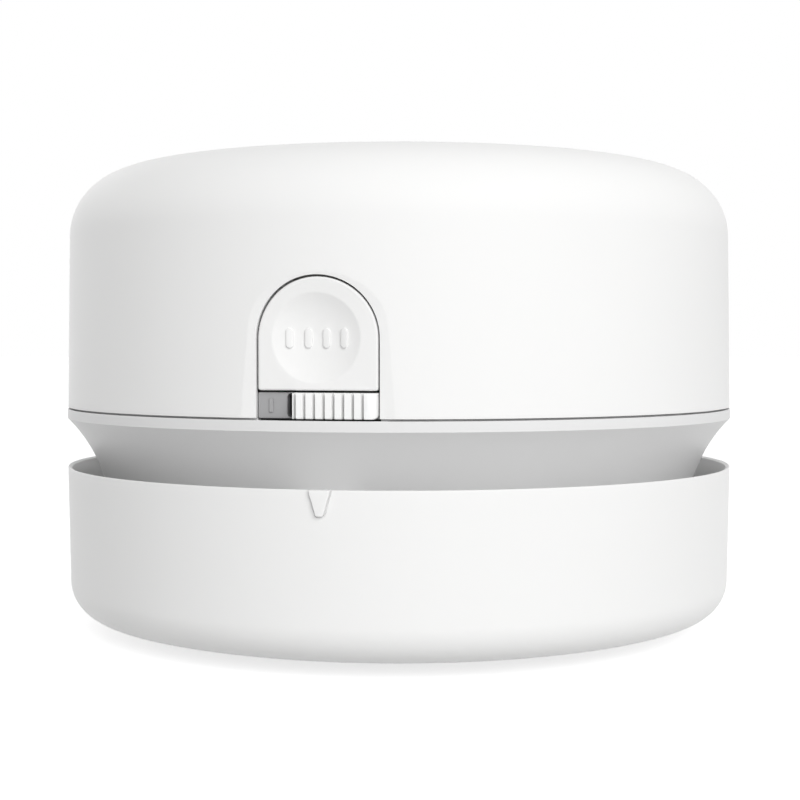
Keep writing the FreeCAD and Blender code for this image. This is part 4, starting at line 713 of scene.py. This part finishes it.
# ---- dust cup
def cup_section():
    """The cup's closed section, from the inlet's lower edge out along the underside."""
    low = RIM - STRAIGHT
    at = BOWL - STRAIGHT * math.tan(math.radians(DRAFT))
    hub = (at, low) - CORNER * spokes(-DRAFT)
    way = spokes(-CORNER_TURN)
    end = hub + CORNER * way
    sweep = (end[1] - BASE) / (1 + way[1])
    centre = (end[0] - sweep * way[0], BASE + sweep)

    def bottom(radius):
        """Height of the inner face of the underside's sweep at a radius."""
        return centre[1] - math.sqrt((sweep - WALL) ** 2 - (radius - centre[0]) ** 2)

    under = arc(centre, sweep, -90, -CORNER_TURN, 14)
    corner = arc(hub, CORNER, -CORNER_TURN, -DRAFT, 24)[1:]
    rim = rounded([(at, low), (BOWL, RIM - RIM_SLOPE[0], 0.1),
                   (BOWL - LIP, RIM - RIM_SLOPE[1], 0.12),
                   (BOWL - WALL - 0.02, RIM - LIP_FALL, 2.0), (at - WALL, low + 1)],
                  closed=False, steps=7)
    rows = np.linspace(corner[-1], rim[0], 14)[1:-1]
    inner_corner = arc(hub, CORNER - WALL, -DRAFT, -CORNER_TURN, 18)
    down = np.linspace(rim[-1], inner_corner[0], 14)[1:-1]
    ring_in, floor, over = RING_OUT - RING_WALL, BASE + WALL, CHANNEL_TOP + WALL
    hump, pipe = (CHANNEL[0] - WALL, CHANNEL[1] + WALL), INLET + WALL
    inside = rounded([
        inner_corner[-1], (RING_OUT, bottom(RING_OUT), 0.6), (RING_OUT, RING_TOP, 0.3),
        (ring_in, RING_TOP, 0.3), (ring_in, bottom(ring_in), 0.8), (FLAT_OUT, floor),
        (hump[1], floor, 0.5), (hump[1], over, 0.4), (hump[0], over, 0.4), (hump[0], floor, 0.4),
        (pipe, floor, 0.4), (pipe, PIPE_TOP, 0.45), (INLET, PIPE_TOP, 0.45), (INLET, BASE, 0.5),
        (CHANNEL[0], BASE, 0.25), (CHANNEL[0], CHANNEL_TOP, 0.2), (CHANNEL[1], CHANNEL_TOP, 0.2),
        (CHANNEL[1], BASE, 0.25), under[0],
    ], closed=False, steps=6)
    return np.concatenate((under, corner, rows, rim, down, inner_corner, inside))


def pointer_outline(by, foot_round, top_round):
    """The pointer's outline, narrow at its foot, wider by a margin at its sides and foot."""
    low = POINTER_LOW - by
    corners = [(POINTER_FOOT[0] - by, low, foot_round), (POINTER_FOOT[1] + by, low, foot_round),
               (POINTER_TOP[1] + by, POINTER_HIGH, top_round),
               (POINTER_TOP[0] - by, POINTER_HIGH, top_round)]
    return resampled(rounded(corners, steps=8), 96)


def make_cup():
    """The turned cup with its raised pointer in a fine groove, and the catch inside."""
    cup = lathe("cup_shell", cup_section(), "bowl", "white_plastic")
    wide, deep = POINTER_GROOVE
    groove = pointer_outline(wide, 0.25, 0.1)
    carve(cup, stack("pointer_groove", [(groove, -deep), (groove, 0.5)], on_wall(POINTER_SKIN),
                     "bowl", "white_plastic"))
    mark = raised(pointer_outline(0, 0.2, 0.12), -0.5, POINTER_RISE, (25, 50, 70, 90))
    stack("cup_pointer", mark, on_wall(POINTER_SKIN), "bowl", "white_plastic")

    low = FLOOR_TOP + 2 * LATCH_PLAY + LATCH_NOSE
    lug = block(-CATCH_HALF, CATCH_HALF, low, low + CATCH_THICK, 0.2, 80)
    stack("cup_catch", slab(lug, CATCH_ROOT - CATCH_TIP, 0.0, 0.15), on_wall(CATCH_TIP), "bowl",
          "white_plastic")
    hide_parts("dust_cup")


# ---- head base
def base_section():
    """The neck's closed section, the rows of its openings and where they start on each face."""
    level = SEAM - FLARE_DROP
    hub = NECK + FLARE
    top = level + FLARE * math.sin(math.radians(FLARE_TURN))
    inner = FLARE + BASE_WALL
    neck_in = NECK - BASE_WALL
    step = SHELL - SEAM_DEEP
    inner_turn = math.degrees(math.acos((hub - SPIGOT_IN) / inner))
    inner_flare = arc((hub, level), inner, 180 - inner_turn, 180, 24)
    outside = [(NECK, z) for z in np.linspace(FOOT + 0.4, level - 0.1, 4)]

    def flare(z, radius):
        """The flare at each height z: r = hub - sqrt(radius^2 - (z - level)^2)."""
        return np.column_stack((hub - np.sqrt(radius ** 2 - (z - level) ** 2), z))

    # Rows are put exactly at the edges of the openings, on both faces of the wall.
    marks = sorted({HATCH[0], PORT[0], HATCH[1], PORT[1]})
    low_rows = np.linspace(level, marks[0], 6)[:-1]
    port_rows = np.unique(np.concatenate((marks, np.linspace(marks[0], marks[-1], 9))))
    high_rows = np.linspace(marks[-1], top, 30)[1:]
    outer_flare = flare(np.concatenate((low_rows, port_rows, high_rows)), FLARE)
    band = rounded([outer_flare[-1], (BAND, top + BAND_STEP, 0.12),
                    (BAND, SEAM - SEAM_GAP, 0.1), (step, SEAM - SEAM_GAP), (step, SEAM),
                    (SPIGOT_IN, SEAM), inner_flare[0]], closed=False)
    inner_top = inner_flare[inner_flare[:, 1] > marks[-1] + 0.3]
    inner_ports = flare(port_rows[::-1], inner)
    inside = rounded([inner_ports[-1], (EYE, FLOOR_TOP, 0.4), (EYE, FLOOR_LOW, 0.4),
                      (neck_in, FLOOR_LOW, 0.3), (neck_in, FOOT, 0.3), (NECK, FOOT, 0.4),
                      outside[0]], closed=False)
    section = np.concatenate((outside, outer_flare, band, inner_top, inner_ports, inside))
    outer_start = len(outside) + len(low_rows)
    inner_start = len(outside) + len(outer_flare) + len(band) + len(inner_top)
    return section, port_rows, outer_start, inner_start


def make_neck():
    """The neck, turned with its openings left out and their edges walled in."""
    section, rows, outer_start, inner_start = base_section()
    hatch_turn = math.degrees(math.asin(HATCH_HALF / NECK))
    angles = np.arange(0, 360, LATHE_STEP)
    angles[HATCH_COLUMNS] = hatch_turn
    angles[-HATCH_COLUMNS] = 360 - hatch_turn
    points = lathe_points(section, angles)
    columns = len(angles)
    faces = grid_faces(*points.shape[:2], close_rows=True, close_columns=True)
    row_of, column_of = np.divmod(np.arange(len(faces)), columns)
    gone = np.zeros(len(faces), bool)
    sides = []
    last = len(rows) - 1

    def outer(i, j):
        """Number of the point at opening row i and column j on the outer face."""
        return (outer_start + i) * columns + j % columns

    def inner(i, j):
        """The same on the inner face, whose rows run downwards."""
        return (inner_start + last - i) * columns + j % columns

    def opening(first_column, last_column, low, high):
        """Removes one opening on both faces of the wall and closes its four sides."""
        i0, i1 = np.searchsorted(rows, (low - 1e-6, high - 1e-6))
        span = np.arange(first_column, last_column) % columns
        for start, end in ((outer_start + i0, outer_start + i1),
                           (inner_start + last - i1, inner_start + last - i0)):
            gone[:] |= (row_of >= start) & (row_of < end) & np.isin(column_of, span)
        for i in (i0, i1):
            sides.extend((outer(i, j), outer(i, j + 1), inner(i, j + 1), inner(i, j))
                         for j in range(first_column, last_column))
        for j in (first_column, last_column):
            sides.extend((outer(i, j), outer(i + 1, j), inner(i + 1, j), inner(i, j))
                         for i in range(i0, i1))

    for middle in range(PORT_PITCH // 2, 360, PORT_PITCH):
        first_column = round((middle - PORT_TURN / 2) / LATHE_STEP)
        opening(first_column, first_column + round(PORT_TURN / LATHE_STEP), *PORT)
    opening(-HATCH_COLUMNS, HATCH_COLUMNS, *HATCH)
    faces = np.concatenate((faces[~gone], np.array(sides)))
    neck = make_piece("neck_shell", points, faces, "head", "shade_plastic")
    start, drop, end = WINDOW_NOTCH
    notch = block(-WINDOW_HALF, WINDOW_HALF, SEAM - drop, SEAM + 1, 0, 60)
    carve(neck, stack("window_notch", [(notch, -end), (notch, -start)], on_wall(SHELL), "head",
                      "shade_plastic"))
    soften(neck, width=0.12, segments=2, angle=50)
    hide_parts("head_base")


def make_spigot():
    """The lip that centres the shell on the neck, open behind the button and the socket."""
    low, high = SEAM - SPIGOT_ROOT, SEAM + SPIGOT_TALL
    lip = rounded([(SPIGOT_OUT, low), (SPIGOT_OUT, high, 0.3), (SPIGOT_IN, high, 0.3),
                   (SPIGOT_IN, low)], steps=4)
    front, rear = (math.degrees(math.asin(half / SPIGOT_OUT))
                   for half in (FRONT_NOTCH, REAR_NOTCH))
    join("neck_spigot", [
        arc_piece("spigot_right", lip, front, 180 - rear, "head", "shade_plastic"),
        arc_piece("spigot_left", lip, 180 + rear, 360 - front, "head", "shade_plastic")])


def make_ledges():
    """The three ledges inside the neck's foot that hold the filter's bayonet."""
    wall = NECK - BASE_WALL
    ledges = []
    for middle in LEDGE_TURNS:
        turn = np.linspace(middle - LEDGE_HALF, middle + LEDGE_HALF, 25)
        outline = np.concatenate(((wall - LEDGE_REACH) * spokes(turn),
                                  (wall + LEDGE_ROOT) * spokes(turn[::-1])))
        layers = [(outline, FOOT), (outline, FOOT + LEDGE_THICK)]
        ledges.append(stack(f"ledge_{middle}", layers, upright, "head", "shade_plastic"))
    join("bayonet_ledges", ledges)


def make_tubes(name, wanted, finish):
    """Upright tubes in one piece, each from its size, its lower and upper end and its spot."""
    tubes = [lathe(f"{name}_{i}", tube_section(*size, low, high), "head", finish, spot, 10.0)
             for i, (size, low, high, spot) in enumerate(wanted)]
    join(name, tubes)


# ---- shell
def shell_section():
    """Upper part of the shell's section from the top of the wall: two arcs and a dome."""
    level = SEAM + SHELL_STRAIGHT
    hub = (wall_radius(level), level) - SHOULDER[0] * spokes(SHELL_DRAFT)
    hub2 = hub + (SHOULDER[0] - CROWN_ARC[0]) * spokes(SHOULDER[1])
    end = hub2 + CROWN_ARC[0] * spokes(CROWN_ARC[1])
    rise = CROWN - end[1]
    dome = (end[0] ** 2 + rise ** 2) / (2 * rise)
    start = math.degrees(math.acos(end[0] / dome))
    return np.concatenate((
        arc(hub, SHOULDER[0], SHELL_DRAFT, SHOULDER[1], 26)[1:],
        arc(hub2, CROWN_ARC[0], SHOULDER[1], CROWN_ARC[1], 14)[1:],
        arc((0, CROWN - dome), dome, start, 90, 16)[1:]))


def wall_radius(height):
    """The shell's wall, drawn in a little with the height: r = SHELL - rise * tan(draft)."""
    return SHELL - (height - SEAM) * math.tan(math.radians(SHELL_DRAFT))


def facet_reach(height):
    """Distance of the flat facet from the axis: upright, then an arc out to the shell."""
    over = np.clip(height - SEAM - FACET_FLAT, 0, 0.9 * FACET_SWEEP)
    return FACE + FACET_SWEEP - np.sqrt(FACET_SWEEP ** 2 - over ** 2)


def wall_points(angle, height):
    """The shell's wall with the facet: -y is the softly limited smaller of the two reaches."""
    radius, turn, facet = wall_radius(height), np.radians(angle), facet_reach(height)
    reach = radius * np.cos(turn)
    gap = np.clip((reach - facet) / CREASE_SOFT, -30, 30)
    flat = facet + CREASE_SOFT * (gap - np.logaddexp(0, gap))
    reach = np.where(np.cos(turn) > 0.9, np.minimum(reach, flat), reach)
    return np.stack((radius * np.sin(turn), -reach, np.broadcast_to(height, reach.shape)), axis=-1)


def line(angle, height):
    """Points (angle, height), where one of the two may be the same all along."""
    return np.column_stack(np.broadcast_arrays(angle, height))


def patch(inner, border, steps):
    """Rings of points from a window outline to the patch border, closer near the window.

    Both are arrays of (angle, height); ring k lies at the share f = (k / steps)^1.2.
    """
    share = (np.linspace(0, 1, steps) ** 1.2)[:, None, None]
    return inner[None] * (1 - share) + border[None] * share


def facet_outline(count):
    """Where the facet meets the round wall: across = sqrt(wall radius^2 - facet reach^2)."""
    # The facet ends below the last of these heights.
    height = SEAM + np.linspace(0, 16, 4000)
    across = wall_radius(height) ** 2 - facet_reach(height) ** 2
    height, across = height[across > 0], np.sqrt(across[across > 0])
    left = np.column_stack((-across, height))
    return resampled(np.concatenate((left, left[::-1] * (-1, 1))), count, closed=False)


def beside(row, other):
    """A row of (angle, height) points moved a short way towards another one."""
    across = (other - row) * (math.radians(SHELL), 1.0)
    return row + (other - row) * CREASE_BESIDE / np.linalg.norm(across, axis=1)[:, None]


def as_angles(outline, rear=False):
    """Window outline points (x, z) as (angle, height) on the wall."""
    turn = np.degrees(np.arcsin(outline[:, 0] / wall_radius(outline[:, 1])))
    return np.column_stack((180 - turn if rear else turn, outline[:, 1]))


def front_patch(front, heights):
    """Rings from the arch window out to the facet's crease and on to the wall's grid."""
    side = heights[:FRONT_ROWS]
    border = np.concatenate((line(-FRONT_TURN, side), line(front, heights[FRONT_ROWS]),
                             line(FRONT_TURN, side[::-1])))
    window = as_angles(arch(WINDOW_HALF, SEAM, SEAM + ARCH_LEVEL, len(border)))
    crease = as_angles(facet_outline(len(border)))
    rings = (patch(window, beside(crease, window), 8), crease[None],
             patch(beside(crease, border), border, 18))
    return np.concatenate(rings)


def rear_patch(rear, heights):
    """Rings from the socket's slot out to the wall's grid, matched by their turn round it."""
    half = len(rear) // 2
    low, high = heights[0], heights[REAR_ROWS]
    border = np.concatenate((
        line(rear[half:-1], low), line(rear[-1], heights[:REAR_ROWS]), line(rear[:0:-1], high),
        line(rear[0], heights[REAR_ROWS:0:-1]), line(rear[:half], low)))
    port = stadium(SOCKET_HALF, SOCKET_HIGH, SOCKET_LEVEL, 400)
    turn = np.arctan2(port[:, 1] - SOCKET_LEVEL, port[:, 0])
    aim = (border - (180.0, SOCKET_LEVEL)) * (-math.radians(SHELL), 1.0)
    order = np.argsort(turn)
    picked = [np.interp(np.arctan2(aim[:, 1], aim[:, 0]), turn[order], port[order, k],
                        period=2 * math.pi) for k in range(2)]
    return patch(as_angles(np.column_stack(picked), rear=True), border, 12)


def make_shell():
    """The shell: a grid round the wall and crown with two patches fitted to its windows."""
    side = np.arange(FRONT_TURN, 180 - REAR_TURN + 0.1, 2.0)
    front = np.arange(-FRONT_TURN, FRONT_TURN, 1.0)
    rear = np.linspace(180 - REAR_TURN, 180 + REAR_TURN, REAR_COLUMNS)
    angles = np.concatenate((front, side[:-1], rear, (360 - side[::-1])[1:-1]))
    heights = SEAM + ROW * np.arange(FRONT_ROWS + 1)
    upper = np.linspace(heights[-1], SEAM + SHELL_STRAIGHT, 6)[1:]
    heights = np.concatenate((heights, upper))
    wall = wall_points(angles[None, :], heights[:, None])
    grid = np.concatenate((wall, lathe_points(shell_section(), angles)))
    faces = grid_faces(*grid.shape[:2], close_columns=True)
    row_of, column_of = np.divmod(np.arange(len(faces)), len(angles))
    # Each quad counts by an angle a little past its first column.
    turn = (angles[column_of] + 0.2) % 360
    in_front = ((turn < FRONT_TURN) | (turn > 360 - FRONT_TURN)) & (row_of < FRONT_ROWS)
    in_rear = (abs(turn - 180) < REAR_TURN) & (row_of < REAR_ROWS)
    blocks, quads = [grid.reshape(-1, 3)], [faces[~(in_front | in_rear)]]
    for rings, closed in ((front_patch(np.append(front, FRONT_TURN), heights), False),
                          (rear_patch(rear, heights), True)):
        offset = sum(map(len, blocks))
        quads.append(grid_faces(*rings.shape[:2], close_columns=closed) + offset)
        blocks.append(wall_points(rings[..., 0], rings[..., 1]).reshape(-1, 3))
    shell = make_piece("shell_skin", np.concatenate(blocks), np.concatenate(quads), "head",
                       "white_plastic", sharp=60.0)
    skin = shell.modifiers.new("wall", "SOLIDIFY")
    skin.thickness = SKIN * MM
    skin.offset = -1
    soften(shell, width=0.09, segments=3, angle=60)
    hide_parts("top_cover")


# ---- button
def dish_depth(x, z):
    """How far the round dish, a cap of a ball, sinks below the face; zero outside it."""
    radius, deep, level = DISH
    ball = (radius ** 2 + deep ** 2) / (2 * deep)
    off = (x - DISH_SHIFT) ** 2 + (z - SEAM - level) ** 2
    return np.maximum(np.sqrt(np.maximum(ball ** 2 - off, 0)) - (ball - deep), 0)


def button_front(x, z):
    """The button's face: upright, then swept out like the facet, less the dish."""
    return facet_reach(z) - FACE + BUTTON_FACE - dish_depth(x, z)


def on_button(x, z, out):
    """Places (across, height, out) on the button's face."""
    return facing_front(x, z, button_front(x, z) + out)


def make_button():
    """Rings from the arch outline in to the dish centre, with a rounded edge and a deep side."""
    low, level = SEAM + BUTTON_LOW, SEAM + ARCH_LEVEL
    outline = closed_arch(WINDOW_HALF - GAP, low, level, 240)
    layers = [(np.tile(outline.mean(axis=0), (len(outline), 1)), BUTTON_BACK)]
    layers += [(outline, depth) for depth in (BUTTON_BACK, FACE - 1.0, FACE - 0.5)]
    for a in np.radians(np.linspace(0, 90, 7)):
        ring = shrunk(outline, BUTTON_ROUND * (1 - math.cos(a)))
        layers.append((ring, button_front(*ring.T) - BUTTON_ROUND * (1 - math.sin(a))))
    inset = layers[-1][0]
    centre = np.array((DISH_SHIFT, SEAM + DISH[2]))
    spoke = spokes(np.degrees(np.arctan2(*(outline - centre).T[::-1])))
    lip = centre + (DISH[0] + DISH_LIP) * spoke
    rings = [inset * (1 - share) + lip * share for share in np.linspace(0, 1, 14)[1:]]
    reaches = np.append(DISH[0] - 0.3 * DISH_LIP, DISH[0] * np.linspace(0.98, 0.0, 26))
    rings += [centre + reach * spoke for reach in reaches]
    layers += [(ring, button_front(*ring.T)) for ring in rings]
    button = surface("button_cap", front_rings(layers), "button", "white_plastic", sharp=50.0)

    flange = closed_arch(WINDOW_HALF + FLANGE_WIDE, low + 0.1, level, 120)
    stack("button_flange", slab(flange, FLANGE_BACK, BUTTON_BACK, 0.1), facing_front, "button",
          "white_plastic")

    ticks = []
    for i in range(TICKS):
        middle = centre[0] + (i - (TICKS - 1) / 2) * TICK_PITCH
        ends = [arc((middle, centre[1] + side * TICK_HALF), TICK_RADIUS, start, start + 180, 16)
                for side, start in ((-1, 180), (1, 0))]
        layers = raised(resampled(np.concatenate(ends), 48), -0.1, TICK_RISE, (20, 40, 60, 90))
        ticks.append(stack(f"tick_{i}", layers, on_button, "button", "white_plastic"))
    join("button_ticks", ticks)

    bore, outside, deep = SPRING_SEAT
    seat = rounded([(outside, 0.0), (outside, -deep, 0.15), (bore, -deep, 0.15), (bore, 0.0)],
                   steps=4)
    front_ring("button_spring_seat", seat, 7.5, (0.0, SEAM + SPRING_LEVEL), FLANGE_BACK,
               "button", "white_plastic")
    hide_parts("push_button")


def make_spring():
    """The coil behind the button: a wire circle carried along an evenly rising helix.

    The helix is (r cos t, depth(t), level + r sin t).
    """
    front, rear = edge("button_spring", 0, "y"), edge("button_spring", 1, "y")
    level = (edge("button_spring", 0, "z") + edge("button_spring", 1, "z")) / 2
    radius = edge("button_spring", 1, "x") - SPRING_WIRE
    turn = np.linspace(0, 2 * np.pi * SPRING_TURNS, 28 * SPRING_TURNS + 1)
    depth = np.linspace(rear - SPRING_WIRE, front + SPRING_WIRE, len(turn))
    out = np.column_stack((np.cos(turn), 0 * turn, np.sin(turn)))
    centre = radius * out + np.column_stack((0 * turn, depth, 0 * turn + level))
    # The first and the last circle shrink to a point, which closes the wire's ends.
    thick = np.pad(np.full(len(turn), SPRING_WIRE), 1)[:, None, None]
    centre, out = (np.pad(row, ((1, 1), (0, 0)), "edge")[:, None, :] for row in (centre, out))
    a = np.radians(np.arange(0, 360, 30))[None, :, None]
    points = centre + thick * (np.cos(a) * out + np.sin(a) * np.array((0, 1, 0)))
    coil = surface("button_coil", points, "head", "steel")
    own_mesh(coil)
    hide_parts("button_spring")


# ---- slider and label
def knob_front(x):
    """The slider's grooved front: rounded valleys at an even pitch, a rounded right end."""
    off = x - KNOB[0] - GROOVE_FIRST
    place = (off + GROOVE_PITCH / 2) % GROOVE_PITCH - GROOVE_PITCH / 2
    valley = GROOVE[1] * np.exp(-(place / GROOVE[0]) ** 6) * (off < KNOB_SLOTS * GROOVE_PITCH)
    over = np.clip(x - (KNOB[1] - KNOB_END), 0, KNOB_END)
    fall = KNOB_END - np.sqrt(np.maximum(KNOB_END ** 2 - over ** 2, 0))
    return KNOB_FRONT - valley - fall


def make_knob():
    """Upright rows of the grooved front, drawn in at the top and bottom for a soft edge."""
    low, high = SEAM + STRIP[0], SEAM + STRIP[1] - KNOB_CLEAR
    even = np.linspace(KNOB[0], KNOB[1] - KNOB_END, 400)
    rounding = KNOB[1] - KNOB_END * (1 - np.sin(np.radians(np.linspace(3, 90, 24))))
    x = np.concatenate((even, rounding))
    turn = np.radians(np.linspace(0, 90, 6))
    pull, rise = KNOB_SOFT * (1 - np.sin(turn)), KNOB_SOFT * (1 - np.cos(turn))
    over = np.clip(x - KNOB[1] + KNOB_CORNER, 0, KNOB_CORNER)
    corner = KNOB_CORNER - np.sqrt(KNOB_CORNER ** 2 - over ** 2)
    heights = np.concatenate((low + rise[:, None] + corner,
                              np.broadcast_to(high - rise[::-1, None], (len(rise), len(x)))))
    pulls = np.concatenate((pull, pull[::-1]))
    reach = np.maximum(knob_front(x)[None, :] - pulls[:, None], KNOB_BACK + 0.02)
    front = facing_front(np.broadcast_to(x, reach.shape), heights, reach)
    rear = front[:, ::-1].copy()
    rear[..., 1] = -KNOB_BACK
    points = np.concatenate((front, rear), axis=1)
    rows, columns = points.shape[:2]
    i = np.arange(len(x) - 1)
    caps = [np.column_stack((row + i, row + i + 1, row + columns - 2 - i, row + columns - 1 - i))
            for row in (0, (rows - 1) * columns)]
    faces = np.concatenate([grid_faces(rows, columns, close_columns=True)] + caps)
    # The slider takes the white plastic painted lighter, painted light that brightens its front.
    knob = make_piece("slider_knob", points, faces, "switch", "bright_plastic",
                      slot="white_plastic", sharp=45.0)
    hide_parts("switch_knob")

    rest, half, tall = STEM
    stem = block(rest - half, rest + half, STRIP_MIDDLE - tall, STRIP_MIDDLE + tall, 0.15, 60)
    layers = [(stem, -edge("slide_switch_lever", 0, "y")), (stem, KNOB_BACK + 0.02)]
    stack("slider_stem", layers, facing_front, "switch", "white_plastic")


def make_label():
    """A sunk plate with a slot through it: rings from the outside edge in to the slot."""
    half = WINDOW_HALF - LABEL_GAP
    reach, tall = SLOT
    outer = block(-half, half, SEAM + STRIP[0], SEAM + STRIP[1], 0.1, 160, steps=4)
    slot = block(-reach, reach, STRIP_MIDDLE - tall, STRIP_MIDDLE + tall, 0.35, 160)
    layers = [(outer, LABEL_BACK), (outer, LABEL_FRONT - 0.06), (shrunk(outer, 0.06), LABEL_FRONT),
              (shrunk(slot, -0.05), LABEL_FRONT), (slot, LABEL_FRONT - 0.05), (slot, LABEL_BACK)]
    plate = surface("label_plate", front_rings(layers), "head", "label_grey", ring=True)
    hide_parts("indicator_plate")

    wide, rear = CARRIER_HALF, LABEL_BACK - CARRIER_THICK
    flange = block(-wide, wide, CARRIER_LOW, CARRIER_HIGH, 0.2, 160, steps=4)
    layers = [(flange, rear), (flange, LABEL_BACK), (slot, LABEL_BACK), (slot, rear)]
    surface("label_carrier", front_rings(layers), "head", "dark_plastic", ring=True,
            slot="label_grey")
    legs = []
    for name, left in (("leg_left", -wide), ("leg_right", wide - LEG_WIDE)):
        leg = block(left, left + LEG_WIDE, CARRIER_LOW, CARRIER_HIGH, 0.15, 48)
        legs.append(stack(name, [(leg, -edge("switch_board", 0, "y")), (leg, rear)],
                          facing_front, "head", "label_grey"))
    join("label_legs", legs)

    bar = block(*ON_BAR, STRIP_MIDDLE - MARK_HALF, STRIP_MIDDLE + MARK_HALF, 0.14, 48)
    on_mark = stack("label_on_mark", slab(bar, LABEL_FRONT - 0.1, LABEL_FRONT + MARK_RISE, 0.04),
                    facing_front, "head", "label_grey")
    place, bore, outside = OFF_RING
    section = rounded([(outside, -0.1), (outside, MARK_RISE, 0.04), (bore, MARK_RISE, 0.04),
                       (bore, -0.1)], steps=3)
    off_mark = front_ring("label_off_mark", section, 6.0, (place, STRIP_MIDDLE), LABEL_FRONT,
                          "head", "label_grey")
    join("label_marks", [on_mark, off_mark])


# ---- carried-over pieces
def dress_nodes():
    """Each CAD node gets its finish and smooth shading with crisp edges."""
    slots = {item["node"]: item["material_slot"] for item in frame["record"]["subparts"]}
    for name, node in frame["nodes"].items():
        node.data.materials.clear()
        node.data.materials.append(FINISH[slots[name]])
        node.data.shade_smooth()
        node.modifiers.new("weld", "WELD").merge_threshold = 1e-6
        node.modifiers.new("crisp", "EDGE_SPLIT").split_angle = math.radians(32)


# ---- studio
def make_camera():
    """A long lens a little above the seam, aimed slightly down."""
    data = bpy.data.cameras.new("studio_camera")
    data.lens = LENS
    data.sensor_width = 36.0
    data.clip_start = 0.01
    camera = placed("studio_camera", data)
    spot = (*CAMERA_FAR * spokes(CAMERA_TURN - 90), SEAM + CAMERA_OVER_SEAM)
    camera.location = np.array(spot) * MM
    camera.rotation_euler = (math.radians(90 - CAMERA_TILT), 0,
                             math.radians(CAMERA_TURN - CAMERA_AIM))
    bpy.context.scene.camera = camera


def make_lamp(name, turn, rise, far, size, power, mirrored):
    """A square soft lamp at an angle round and above the object, aimed at its middle.

    A strong lamp isn't mirrored, so that no pale surface clips where it would show.
    """
    data = bpy.data.lights.new(name, "AREA")
    data.shape = "SQUARE"
    data.size = size
    data.energy = power
    lamp = placed(name, data)
    lamp.visible_glossy = mirrored
    over, up = far * spokes(rise)
    lamp.location = (*over * spokes(turn - 90), up + LAMP_AIM)
    lamp.rotation_euler = (math.radians(90 - rise), 0, math.radians(turn))


def seen_directly(tree):
    """One for camera, mirror and glass rays, zero for rays that only carry light."""
    path = add(tree, "ShaderNodeLightPath")
    clear = maths(tree, "MAXIMUM", path.outputs["Is Camera Ray"],
                  path.outputs["Is Transmission Ray"])
    return maths(tree, "MAXIMUM", clear, path.outputs["Is Glossy Ray"])


def make_studio():
    """White surroundings for what the camera and reflections see, plain grey light besides."""
    world = bpy.data.worlds.new("studio")
    bpy.context.scene.world = world
    world.use_nodes = True
    tree = world.node_tree
    level = ramp(tree, seen_directly(tree), {"To Min": AMBIENT, "To Max": 1.0})
    feed(tree, tree.nodes["Background"], {"Strength": level, "Color": (1, 1, 1, 1)})

    corners = np.array(((-1, -1, 0), (1, -1, 0), (1, 1, 0), (-1, 1, 0)), float)
    mesh = bpy.data.meshes.new("floor")
    mesh.from_pydata((corners * FLOOR_HALF * MM).tolist(), [], [(0, 1, 2, 3)])
    floor = placed("floor", mesh)
    material, tree, shader = new_material("pale_floor")
    feed(tree, shader, {
        "Base Color": (*[FLOOR_GREY] * 3, 1), "Roughness": 0.9, "Specular IOR Level": 0.1,
        "Emission Color": (1, 1, 1, 1),
        "Emission Strength": maths(tree, "MULTIPLY", seen_directly(tree), FLOOR_GLOW)})
    mesh.materials.append(material)
    for lamp in LAMPS:
        make_lamp(*lamp)


COLUMN_SPOTS = COLUMN_RING * spokes(COLUMN_TURNS)
POST_SPOTS = COLUMN_RING * spokes(POST_TURNS)

make_cup()
make_neck()
make_spigot()
make_ledges()
make_tubes("neck_columns", [(COLUMN, FLOOR_LOW, COLUMN_TOP, spot) for spot in COLUMN_SPOTS]
           + [(POST, FLOOR_LOW, PLATE_LOW, spot) for spot in POST_SPOTS], "shade_plastic")
make_shell()
make_tubes("shell_bosses", [(BOSS, COLUMN_TOP + COLUMN_GAP, CROWN - BOSS_DROP, spot)
                            for spot in COLUMN_SPOTS], "white_plastic")
make_button()
make_spring()
make_knob()
make_label()
dress_nodes()
make_studio()
make_camera()
bpy.context.scene.view_settings.view_transform = "Standard"
